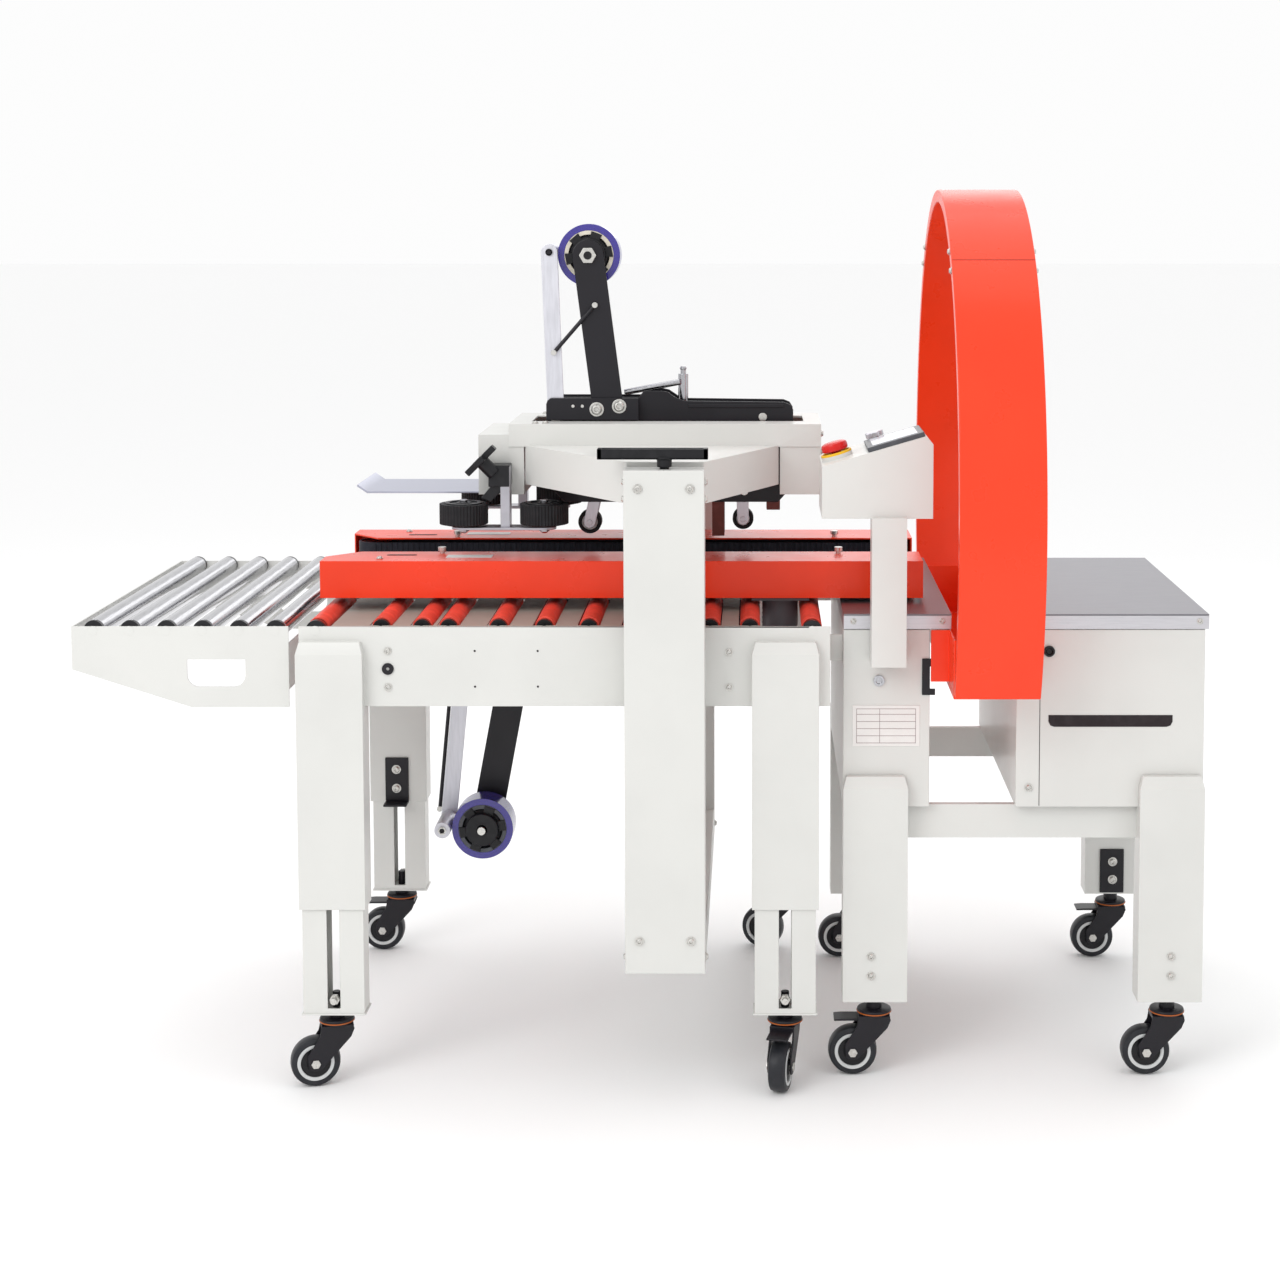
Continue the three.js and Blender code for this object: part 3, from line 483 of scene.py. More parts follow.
def make_deck():
    """The deck plate, cut for the idler rollers, and the idlers with their sleeves, coloured red as a painted
    reflection of the orange covers above.
    """
    low, high = span("bed_deck")
    slot_start, slot_end = IDLER_SLOT
    top, bottom = high.z, high.z - DECK_SHEET
    plate = Piece("deck_plate", MAIN, DECK, 0.4, 1)
    edges = [low.x] + [x + way * IDLER_SLOT_HALF for x in IDLERS for way in (-1, 1)] + [high.x]
    for sign, _ in SIDES:
        plate.box((low.x, high.x), mirrored(sign, slot_end, high.y), (bottom, top))
        plate.box((low.x, high.x), mirrored(sign, TAPE_SLOT_HALF, slot_start), (bottom, top))
        for left, right in zip(edges[0::2], edges[1::2]):
            if right - left > 2:
                plate.box((left, right), mirrored(sign, slot_start - LAP, slot_end + LAP), (bottom, top))
    for x in ((low.x, low.x + TAPE_SLOT_START), (TAPE_SLOT_END, high.x)):
        plate.box(x, (-TAPE_SLOT_HALF - LAP, TAPE_SLOT_HALF + LAP), (bottom, top))
    plate.box((low.x, low.x + DECK_SHEET), (-high.y + 40, high.y - 40), (DECK_FLANGE_LEFT, top - 0.2))
    plate.box((high.x - DECK_SHEET, high.x), (-60, 60), (DECK_FLANGE_RIGHT, top - 0.2)).done("bed_deck")
    z = ROLL_TOP - IDLER_RADIUS
    for index, x in enumerate(IDLERS, 1):
        for sign, side_name in SIDES:
            # the sleeve's red is a painted reflection of the orange cover above
            sleeve = Piece(f"idler_{index}_{side_name}", MAIN, PAINTED_RED_REFLECTION, 1.2)
            sleeve.tube("y", IDLER_RADIUS, 8.0, mirrored(sign, *IDLER_SLEEVE), x, z).done()
            hub = Piece(f"idler_{index}_{side_name}_hub", MAIN, PLASTIC, 0.6)
            for ends in IDLER_HUBS:
                hub.tube("y", IDLER_RADIUS - 2.5, 5.0, mirrored(sign, *ends), x, z)
            hub.rod("y", IDLER_AXLE, mirrored(sign, *IDLER_AXLE_ENDS), x, z, 24).done()


SIDE_SCREWS = ((-381, 665), (-381, 610), (129, 663), (129, 610))
PIN_HOLES = ((-251, 665), (-251, 611), (-157, 665), (-157, 611))
WIDTH_SHAFT = (-381, 638)


def make_conveyor():
    refined("infeed_frame", CREAM, 1.0)
    for node in sorted(n for n in NODES if n.startswith("infeed_roller")):
        make_roller(node, False)
    for side_name in ("left", "right"):
        make_roller("bed_roller_" + side_name, True)
    make_deck()
    for sign, side_name in SIDES:
        node = "bed_side_" + side_name
        refined(node, CREAM, 1.3)
        face = sign * SIDE_FACE
        screws = Piece(f"bed_screws_{side_name}", MAIN, BOLT_STEEL, 0.3, 1)
        for x, z in SIDE_SCREWS:
            screws.bolt("y", x, z, face, sign, 4.6)
        screws.done()
        # painted shade: dark discs on the face stand for the shade inside the pin holes
        pins = Piece(f"bed_pin_holes_{side_name}", MAIN, DARK, 0.0)
        for x, z in PIN_HOLES:
            pins.rod("y", 1.6, sorted((face, face + sign * 0.4)), x, z, 16)
        pins.done()
        shaft = Piece(f"width_shaft_{side_name}", MAIN, BLACK_STEEL, 0.5)
        shaft.tube("y", 8.8, 2.4, sorted((face - sign * 8, face + sign * 2.6)), *WIDTH_SHAFT).done()


# ---- legs and casters ----
FOOT_MARGIN = 2.4  # the foot plate stands out this far round the leg
LOCK_BOLT_RISE = 22
LOCK_PLATE_FACE, LOCK_PLATE_SHEET, LOCK_PLATE_WIDTH = 284.0, 3.4, 41
LOCK_PLATE_HEIGHT, LOCK_PLATE_LIP, LOCK_PLATE_BOLTS = (277, 355), (273, 277), (300, 334)
CONTACT_GAP = 0.2


def make_leg(side_name, end_name):
    place = f"{side_name}_{end_name}"
    node = "leg_inner_" + place
    sign = -1 if side_name == "near" else 1
    refined(node, CREAM, 1.2)
    low, high = span(node)
    middle = (low.x + high.x) / 2
    face = low.y if sign < 0 else high.y
    body = BODY_OF[node]
    foot = Piece("leg_foot_" + place, body, CREAM, 0.8)
    foot.box((low.x - FOOT_MARGIN, high.x + FOOT_MARGIN), (low.y - FOOT_MARGIN, high.y + FOOT_MARGIN),
             (low.z + CONTACT_GAP, low.z + 3.0))
    foot.done()
    lock = Piece("leg_lock_bolt_" + place, body, BOLT_STEEL, 0.4, 1)
    lock_z = low.z + LOCK_BOLT_RISE
    lock.rod("y", 5.0, sorted((face - sign * 16, face + sign * 4.5)), middle, lock_z, 24)
    lock.hexagon("y", 14, sorted((face - sign * 10, face - sign * 4)), middle, lock_z).done()
    dark = Piece("leg_screw_rod_" + place, body, BLACK_STEEL, 0.4, 1)
    dark.rod("z", 6.0, (low.z + 6, low.z + 30), middle, (low.y + high.y) / 2, 24).done()
    bracket = Piece("leg_lock_plate_" + place, MAIN, BLACK_STEEL, 1.0)
    inner = LOCK_PLATE_FACE * sign
    left = middle - 22.5
    x = (left, left + LOCK_PLATE_WIDTH)
    back, front = inner - sign * CONTACT_GAP, inner - sign * LOCK_PLATE_SHEET
    bracket.box(x, sorted((front, back)), LOCK_PLATE_HEIGHT)
    bracket.box(x, sorted((inner - sign * 30, back)), LOCK_PLATE_LIP).done()
    bolts = Piece("leg_lock_plate_bolts_" + place, MAIN, BOLT_STEEL, 0.3, 1)
    for z in LOCK_PLATE_BOLTS:
        bolts.bolt("y", left + 20, z, front, -sign, 6)
    bolts.done()


def caster_matrix(name):
    swivel = joint_at(f"caster_{name}_swivel")
    axis = JOINTS[f"wheel_{name}_spin"]["axis"]
    yaw = math.atan2(-axis[0], axis[1])
    return Matrix.Translation(Vector((swivel.x, swivel.y, 0)) * MM) @ Matrix.Rotation(yaw, 4, "Z")


WHEEL_RADIUS, TRAIL = 37.5, 33.0
FORK_SIDE = [
    (-25, 88), (-25, 94), (23, 94), (25, 88), (20, 76), (-TRAIL + 13, 33), (-TRAIL + 8, 28),
    (-TRAIL, 26), (-TRAIL - 8, 28), (-TRAIL - 11, 34), (-TRAIL - 12, 50), (-27, 78),
]
PEDAL_SIDE = [(-22, 86.6), (-50, 86.6), (-62, 86.2), (-62, 88.8), (-50, 89.8), (-22, 89.8)]
TYRE_RING = [
    (27.0, -12.4), (33.5, -12.9), (35.6, -11.6), (36.9, -8.0), (37.45, 0), (36.9, 8.0), (35.6, 11.6),
    (33.5, 12.9), (27.0, 12.4),
]
RIM_RING = [
    (22.5, -13.0), (24.0, -13.8), (27.4, -13.4), (27.6, -12.0), (27.6, 12.0), (27.4, 13.4),
    (24.0, 13.8), (22.5, 13.0),
]
WHEEL_HUB_RING = [
    (6.2, -14.4), (11.0, -14.4), (12.0, -12.6), (14.0, -10.6), (22.8, -10.8), (22.8, 10.8),
    (14.0, 10.6), (12.0, 12.6), (11.0, 14.4), (6.2, 14.4),
]


def make_caster(name):
    """A swivel fork with its race, brake where it has one, and a wheel with a tyre, rim and hub."""
    matrix = caster_matrix(name)
    fork_body, wheel_body = "caster_" + name, "wheel_" + name
    fork_high = span("caster_fork_" + name)[1]
    fork = Piece(f"caster_{name}_fork", fork_body, BLACK_STEEL, 1.0)
    for way in (-1, 1):
        fork.prism("y", FORK_SIDE, mirrored(way, 16.1, 18.9))
    fork.box((-24.5, 24), (-18.8, 18.8), (88.4, 94.4))
    fork.rod("z", 12.0, (94, fork_high.z), 0, 0)
    fork.lathe("z", [(0, 94.2), (24, 94.2), (26, 97.2), (0, 97.2)], 0, 0)
    fork.lathe("z", [(0, 99.2), (26.6, 99.2), (25.6, 102.6), (20, 103.6), (0, 103.6)], 0, 0)
    if "frictionloss" in JOINTS[f"caster_{name}_swivel"]:
        fork.prism("y", PEDAL_SIDE, (-16.6, 16.6))
    fork.turned(matrix).done("caster_fork_" + name)
    race = Piece(f"caster_{name}_race", fork_body, RACE, 0.5)
    race.tube("z", 26.9, 20, (97.4, 99.0), 0, 0).turned(matrix).done()
    nut = Piece(f"caster_{name}_axle_nut", fork_body, BOLT_STEEL, 0.5)
    nut.rod("y", 4.5, (-21, 21), -TRAIL, WHEEL_RADIUS, 20)
    for way in (-1, 1):
        nut.hexagon("y", 12.5, mirrored(way, 18.9, 20.9), -TRAIL, WHEEL_RADIUS)
    nut.turned(matrix).done()
    tyre = Piece(f"caster_{name}_tyre", wheel_body, TYRE, 0.0)
    tyre.lathe("y", TYRE_RING, -TRAIL, WHEEL_RADIUS, 64, closed=True).turned(matrix).done()
    rim = Piece(f"caster_{name}_rim", wheel_body, RIM, 0.0)
    rim.lathe("y", RIM_RING, -TRAIL, WHEEL_RADIUS, 64, closed=True).turned(matrix).done()
    hub = Piece(f"caster_{name}_hub", wheel_body, PLASTIC, 0.0)
    hub.lathe("y", WHEEL_HUB_RING, -TRAIL, WHEEL_RADIUS, 48, closed=True)
    hub.turned(matrix).done("caster_wheel_" + name)


# ---- lift and head ----
MAST_FACE_SCREWS, MAST_SIDE_SCREWS = (917, 245), (214, 900, 925)
MAST_MIDDLE = 365
HEAD_RIGHT, HEAD_TOP = 272, 985
CRANK_SHAFT = [
    (0, 935.4), (6.8, 935.4), (6.8, 946), (11, 947), (11, 957), (14, 960), (14, 962), (0, 962),
]
CRANK_BOTTOM, CRANK_TOP = 958.5, 974


def make_lift():
    refined("lift_frame", CREAM, 1.4)
    low, high = span("lift_frame")
    body = BODY_OF["lift_frame"]
    for sign, side_name in SIDES:
        face = sign * high.y
        screws = Piece(f"mast_screws_{side_name}", body, BOLT_STEEL, 0.3, 1)
        for x in (low.x + 21, high.x - 21):
            for z in MAST_FACE_SCREWS:
                screws.bolt("y", x, z, face, sign, 5.4)
        for way, x in ((-1, low.x), (1, high.x)):
            for z in MAST_SIDE_SCREWS:
                screws.bolt("x", sign * MAST_MIDDLE, z, x, way, 4.6)
        screws.done()


def make_head():
    refined("head_frame", CREAM, 1.8)
    body = BODY_OF["head_frame"]
    bolts = Piece("head_bolts", body, BOLT_STEEL, 0.3, 1)
    for sign, _ in SIDES:
        for z in (900, 940, 968):
            bolts.bolt("x", sign * 80, z, HEAD_RIGHT, 1, 4.6)
        for x in (-181, -165):
            bolts.bolt("z", x, sign * 88, HEAD_TOP, 1, 4.0)
    bolts.done()
    refined("flap_ski", SHEET_STEEL, 0.5)
    crank_centre = joint_at("crank_turn")
    low, high = span("lift_crank")
    crank = Piece("crank_handle", BODY_OF["lift_crank"], ("black_steel", PLASTIC[1]), 1.6, 3)
    y, wall = crank_centre.y, 7
    crank.lathe("z", CRANK_SHAFT, crank_centre.x, y, 40)
    left, right = low.x + 1, high.x - 1
    for band in ((y - 11, y - 5.5), (y + 5.5, y + 11)):
        crank.box((left, right), band, (CRANK_BOTTOM + 0.5, CRANK_TOP))
    crank.box((left, right), (y - 11, y + 11), (CRANK_BOTTOM, 962))
    for x in ((left, left + wall), (right - wall, right)):
        crank.box(x, (y - 11, y + 11), (CRANK_BOTTOM, CRANK_TOP))
    crank.done("lift_crank")


def round_ended(start, end, half_width):
    """The outline of a flat arm with round ends, between two points of the XZ plane."""
    along = math.atan2(end[1] - start[1], end[0] - start[0])
    points = []
    for centre, first in ((start, math.pi / 2), (end, -math.pi / 2)):
        for step in range(13):
            t = along + first + math.pi * step / 12
            points.append((centre[0] + half_width * math.cos(t), centre[1] + half_width * math.sin(t)))
    return points


TAPE_RADIUS, CORE_RADIUS, CORE_BORE = 50.0, 39.5, 33.0
TAPE_HALF, HUB_FINS = 24, 6
TAPE_HUB_RING = [
    (8.2, -34), (26, -34), (27, -32), (27, -24), (32.8, -20), (32.8, 20), (27, 24), (27, 32), (26, 34),
    (8.2, 34),
]
FIN = ((26, -0.3), (39.0, -0.24), (39.0, 0.24), (26, 0.3))  # radius, and turn in radians


def make_tape_roll(node, name, sign, centre, head_body, core):
    """Tape on its card core, the core's hub, and the hexagon nut that holds it on the arm."""
    body = BODY_OF[node]
    x, z = centre
    tape = Piece(f"{name}_tape", body, TAPE, 0.3, 1)
    tape.tube("y", TAPE_RADIUS, CORE_RADIUS + 0.1, (-TAPE_HALF, TAPE_HALF), x, z, 96).done()
    card = Piece(f"{name}_core", body, core, 0.3, 1)
    card.tube("y", CORE_RADIUS, CORE_BORE, (-TAPE_HALF - 0.2, TAPE_HALF + 0.2), x, z, 72).done()
    hub = Piece(f"{name}_hub", body, PLASTIC, 1.0)
    hub.lathe("y", TAPE_HUB_RING, x, z, 60, closed=True)
    for step in range(HUB_FINS):
        turn = math.radians(10 + 60 * step)
        fin = [(x + r * math.cos(turn + o), z + r * math.sin(turn + o)) for r, o in FIN]
        hub.prism("y", fin, (-26, 26))
    hub.done(node)
    nut = Piece(f"{name}_axle_nut", head_body, BOLT_STEEL, 0.8)
    nut.hexagon("y", 24, mirrored(sign, 46.3, 53.5), x, z).rod("y", 6.8, mirrored(sign, -40, 46.2), x, z)
    nut.done()
    Piece(f"{name}_axle_tip", head_body, PLASTIC, 0.8).rod("y", 6.6, mirrored(sign, 53.3, 55.5), x, z).done()


def make_arms(name, body, sign, roll, foot, guide_end, guide_foot, spring):
    """The black roll arm, the pale guide arm with its roller, and the thin spring bar beside them."""
    at = guide_end
    arm = Piece(f"{name}_roll_arm", body, BLACK_STEEL, 0.8)
    arm.prism("y", round_ended(roll, foot, 24.8), mirrored(sign, 41, 46))
    arm.rod("y", 14, mirrored(sign, 27, 42), *foot).done()
    guide = Piece(f"{name}_guide_arm", body, ALUMINIUM, 1.0)
    guide.prism("y", round_ended(guide_end, guide_foot, 13.3), mirrored(sign, 42, 45.8))
    guide.rod("y", 9, mirrored(sign, 27, 43), *guide_foot).done()
    roller = Piece(f"{name}_guide_roller", body, ALUMINIUM, 0.8)
    roller.tube("y", 13.2, 5.5, mirrored(sign, -38, 41), *at).done()
    pin = Piece(f"{name}_guide_pin", body, BLACK_STEEL, 0.5)
    pin.rod("y", 5.2, mirrored(sign, -40, 50), *at).tube("y", 5.6, 3, mirrored(sign, 46.2, 50), *at).done()
    cap = Piece(f"{name}_guide_cap", body, BOLT_STEEL, 0.4)
    cap.tube("y", 7.2, 4.6, mirrored(sign, -42, -38.2), *at, 6).done()
    bar = Piece(f"{name}_spring_bar", body, BLACK_STEEL, 0.0)
    bar.path([(x, sign * 50, z) for x, z in spring], 3.2).done()
    ends = Piece(f"{name}_spring_pins", body, BOLT_STEEL, 0.3, 1)
    for x, z in spring:
        ends.rod("y", 4.6, mirrored(sign, 45, 54), x, z, 24)
    ends.done()


PLATE_BAND = (26, 31)  # the tape heads' side plates, from the middle of the machine
TOP_PLATE = [
    (-167, 880), (-167, 1012), (-165, 1018), (-160, 1022), (-19, 1022), (-13, 1030), (-8, 1032),
    (18, 1032), (27, 1030), (42, 1020), (54, 1016), (214, 1014), (224, 1010), (229, 1002), (230, 880),
    (205, 852), (-140, 852),
]
FOOT_COVER = [(-167, 986.4), (-167, 1012), (-165, 1018), (-160, 1022), (-19, 1022), (-19, 986.4)]
FOOT_COVER_FACE = -51
TOP_SPACERS = ((-154, 982), (-45, 1005), (180, 990), (150, 870), (-110, 870))
POST_X = 51
FLAP_WHEELS = (("left", -101, 817, 19, 0.9), ("right", 148, 822, 17, -0.1))  # name, x, z, radius, lean
LOW_PLATE = [(-330, 560), (-345, 600), (-160, 692), (150, 692), (160, 640), (140, 592), (-120, 592)]
LOW_SPACERS = ((-100, 640), (110, 640), (-290, 590))
TOP_ROLL, LOW_ROLL = (-99, 1250), (-279, 312)


def make_top_tape_head():
    body = BODY_OF["top_tape_head"]
    plates = Piece("top_tape_head_plates", body, BLACK_STEEL, 1.2, 3)
    for sign, _ in SIDES:
        plates.prism("y", TOP_PLATE, mirrored(sign, *PLATE_BAND))
    plates.box((40, 226), (-27, 27), (984, 988))
    plates.prism("y", FOOT_COVER, (FOOT_COVER_FACE, -46.4)).done("top_tape_head")
    Piece("top_tape_head_lip", body, BLACK_STEEL, 1.0).box((60, 214), (-33.6, -30.8), (1005, 1011)).done()
    spacers = Piece("top_tape_head_spacers", body, BOLT_STEEL, 0.6)
    for x, z in TOP_SPACERS:
        spacers.rod("y", 6.8, (-33.8, 33.8), x, z)
    for x, z in ((-86, 1004), (-50, 1009)):
        spacers.bolt("y", x, z, FOOT_COVER_FACE, -1, 8.6)
    for x in (-124, -109):
        spacers.rod("y", 2.6, (-51.6, -50.5), x, 1009, 20)
    spacers.done()
    make_arms("top_head", body, -1, TOP_ROLL, (-68, 1004), (-161, 1255), (-152, 1008),
              ((-88, 1171), (-154, 1095)))
    make_tape_roll("top_tape_roll", "top_roll", -1, TOP_ROLL, body, CARD)
    post = Piece("top_head_post", body, ZINC, 0.8)
    post.rod("z", 8.2, (1010, 1058), POST_X, 0).rod("z", 4.5, (1056, 1066), POST_X, 0)
    post.lathe("z", [(0, 1063), (5, 1064), (6, 1067), (4, 1070), (0, 1070)], POST_X, 0, 28)
    post.path([(-44, -8, 1028), (46, -8, 1045)], 5.0).done()
    for name, x, z, radius, lean in FLAP_WHEELS:
        yoke_top = (x + 12 * lean, 866)
        bracket = Piece(f"flap_wheel_{name}_bracket", body, ALUMINIUM, 0.8)
        for sign, _ in SIDES:
            bracket.prism("y", round_ended((x, z), yoke_top, 9.5), mirrored(sign, 13.5, 16.5))
        bracket.rod("y", 4.5, (-18, 18), x, z, 24).done()
        Piece(f"flap_wheel_{name}", body, RUBBER, 1.4).tube("y", radius, radius - 6, (-12, 12), x, z).done()
        Piece(f"flap_wheel_{name}_core", body, RIM, 0.6).tube("y", radius - 6.1, 4.8, (-11, 11), x, z).done()
    Piece("top_head_end_block", body, BROWN, 1.2).box((186, 208), (-22, 22), (838, 866)).done()
    # painted shade: a brown plate put where the far mast column is seen in shadow
    Piece("top_head_painted_shade_plate", body, BROWN, 0.8).box((98, 118), (-25, 25), (796, 868)).done()


def make_bottom_tape_head():
    body = BODY_OF["bottom_tape_head"]
    plates = Piece("bottom_tape_head_plates", body, BLACK_STEEL, 1.0)
    for sign, _ in SIDES:
        plates.prism("y", LOW_PLATE, mirrored(sign, *PLATE_BAND))
    plates.done("bottom_tape_head")
    spacers = Piece("bottom_tape_head_spacers", body, BOLT_STEEL, 0.6)
    for x, z in LOW_SPACERS:
        spacers.rod("y", 6.8, (-33.8, 33.8), x, z)
    spacers.done()
    rollers = Piece("bottom_head_rollers", body, RUBBER, 1.4)
    for x in (-110, 108):
        rollers.tube("y", 22, 7, (-25, 25), x, 684)
    rollers.done()
    make_arms("bottom_head", body, 1, LOW_ROLL, (-226, 592), (-343, 313), (-316, 578),
              ((-336, 560), (-359, 326)))
    make_tape_roll("bottom_tape_roll", "bottom_roll", 1, LOW_ROLL, body, ("deck_grey", FRAME_GREY[1]))


# ---- belt units and press wheels ----
COVER_BOTTOM = 720.0
BELT_INNER, BELT_OUTER, BELT_THICKNESS = 79.0, 139.0, 4.0  # in Y from the middle of the machine
WIDTH_SCREWS, WIDTH_SCREW_Y = (-330, 300), 92
COVER_SCREWS, COVER_SCREW_Y = (-420, 380), 150
RIB_PITCH, RIB_HEIGHT = 9.0, 1.1
RIB = ((0.0, 0.0), (0.3, 0.0), (0.4, RIB_HEIGHT), (0.9, RIB_HEIGHT))  # share of the pitch, and height
MOTOR_PLACE, MOTOR_RADIUS, MOTOR_BOTTOM = (207.0, 125.0), 28.0, 560.0


def make_motor(body, node, sign):
    """The seat under the cover, and the motor that hangs from it with its bell, fins and end cap."""
    x, y = MOTOR_PLACE[0], sign * MOTOR_PLACE[1]
    seat = Piece(f"{node}_seat", body, MOTOR_GREY, 0.8)
    seat.box((x - 45, x + 45), mirrored(sign, 80, 171), (715, COVER_BOTTOM - 0.3)).done()
    bell = Piece(f"{node}_gearbox", body, MOTOR_GREY, 0.8)
    bell.rod("z", MOTOR_RADIUS, (668, 714.8), x, y, 64).done()
    case = Piece(f"{node}_motor", body, MOTOR_GREY, 0.5)
    case.rod("z", MOTOR_RADIUS - 2.5, (MOTOR_BOTTOM + 0.5, 667.8), x, y, 64)
    for z in range(578, 660, 8):
        case.tube("z", MOTOR_RADIUS - 0.2, MOTOR_RADIUS - 3, (z, z + 3), x, y, 64)
    case.done()


def make_belt_unit(sign, side_name):
    node = "belt_unit_" + side_name
    body = BODY_OF[node]
    top = span(node)[1].z
    cover = Piece(f"{node}_cover", body, ORANGE, 2.2, 4)
    cover.take(node)
    geometry = cover.mesh.verts[:] + cover.mesh.edges[:] + cover.mesh.faces[:]
    bmesh.ops.bisect_plane(
        cover.mesh, geom=geometry, dist=0.001 * MM, plane_co=(0, 0, COVER_BOTTOM * MM), plane_no=(0, 0, 1),
        clear_inner=True,
    )
    open_edges = [edge for edge in cover.mesh.edges if len(edge.link_faces) == 1]
    bmesh.ops.holes_fill(cover.mesh, edges=open_edges)
    cover.merge_flat().done(node)
    make_motor(body, node, sign)
    fittings = Piece(f"{node}_screws", body, BOLT_STEEL, 0.3, 1)
    for x in WIDTH_SCREWS:
        fittings.rod("z", 4.2, (top - 1, top + 9), x, sign * WIDTH_SCREW_Y, 24)
        fittings.rod("z", 6.6, (top + 4, top + 10), x, sign * WIDTH_SCREW_Y, 24)
    for x in COVER_SCREWS:
        fittings.bolt("z", x, sign * COVER_SCREW_Y, top, 1, 4.2)
    fittings.done()
    # painted shade: a dark sheet on the top stands for the shade inside the slot
    slot = Piece(f"{node}_slot", body, DARK, 0.2, 1)
    slot.prism("z", round_ended((-410, sign * 112), (-372, sign * 112), 5.0), (top - 0.6, top + 0.25)).done()
    panel = Piece(f"{node}_blank_plate", body, PLATE_WHITE, 0.3, 1)
    panel.box((-318, -246), mirrored(sign, 112, 140), (top - 0.3, top + 0.5)).done()
    drive = "drive_belt_" + side_name
    drive_low, drive_high = span(drive)
    middle, radius = (BELT_INNER + BELT_OUTER) / 2, (BELT_OUTER - BELT_INNER) / 2
    ends = (drive_low.x + radius, drive_high.x - radius)
    belt = Piece(f"{drive}_loop", body, BELT_RUBBER, 0.6, 1)
    belt_loop(belt, ends, sign * middle, radius - 0.2, (drive_low.z + 0.5, drive_high.z - 0.5))
    belt.done(drive)
    pulleys = Piece(f"{drive}_pulleys", body, PLASTIC, 0.7)
    for x in ends:
        ribbed(pulleys, x, sign * middle, radius - 5.0, (drive_low.z + 2, drive_high.z - 2), 28, 1.4)
    pulleys.done()
    backing = Piece(f"{drive}_backing", body, STAINLESS, 0.6)
    bar = BELT_INNER + 4.6
    height = (drive_low.z + 3, drive_high.z - 3)
    backing.box((ends[0] + 30, ends[1] - 30), mirrored(sign, bar, bar + 5), height)
    backing.box((ends[0] + 20, ends[1] - 20), mirrored(sign, middle - 12, middle + 12),
                (drive_low.z + 2, drive_low.z + 8))
    backing.done()


def belt_loop(piece, ends, middle, radius, height):
    """A closed band round two pulleys, with fine grip ribs on its outer face."""
    left, right = ends
    ribs = range(int((right - left) / RIB_PITCH))
    run = [((rib + share) * RIB_PITCH, rise) for rib in ribs for share, rise in RIB]
    outer = [(left + along, middle - radius + rise) for along, rise in run]
    outer += arc(right, middle, radius, -90, 90)
    outer += [(right - along, middle + radius - rise) for along, rise in run]
    outer += arc(left, middle, radius, 90, 270)
    inside = radius - BELT_THICKNESS
    inner = arc(right, middle, inside, -90, 90) + arc(left, middle, inside, 90, 270)
    ring_prism(piece, outer, inner, height)


def arc(x, y, radius, start, end, steps=24):
    turns = [math.radians(start + (end - start) * step / steps) for step in range(steps + 1)]
    return [(x + radius * math.cos(t), y + radius * math.sin(t)) for t in turns]


def ring_prism(piece, outer, inner, height):
    """Walls of a ring and its two rims, with the rims filled between the outlines."""
    loops = {}
    for name, outline in (("outer", outer), ("inner", inner)):
        for level, z in enumerate(height):
            loops[name, level] = [piece.mesh.verts.new(to_space("z", x, y, z)) for x, y in outline]
        count = len(outline)
        for index in range(count):
            after = (index + 1) % count
            piece.mesh.faces.new((
                loops[name, 0][index], loops[name, 0][after], loops[name, 1][after], loops[name, 1][index],
            ))
    for level in (0, 1):
        rim_edges = []
        for name in ("outer", "inner"):
            loop = loops[name, level]
            for index, vertex in enumerate(loop):
                after = loop[(index + 1) % len(loop)]
                rim_edges.append(piece.mesh.edges.get((vertex, after)))
        bmesh.ops.triangle_fill(piece.mesh, use_beauty=True, edges=rim_edges)


def ribbed(piece, x, y, radius, height, count, depth):
    """A wheel whose rim has rounded ribs, as on a knurled knob or a toothed pulley."""
    outline = []
    for index in range(count):
        for share, drop in ((0.0, depth), (0.2, depth), (0.4, 0.0), (0.8, 0.0)):
            t = 2 * math.pi * (index + share) / count
            outline.append((x + (radius - drop) * math.cos(t), y + (radius - drop) * math.sin(t)))
    piece.prism("z", outline, height)


PRESS_XS, PRESS_Y = (-290.0, -163.5), 130.0
CLAMP_FOOT = [(-262, 872), (-246, 866), (-220, 893), (-234, 905)]


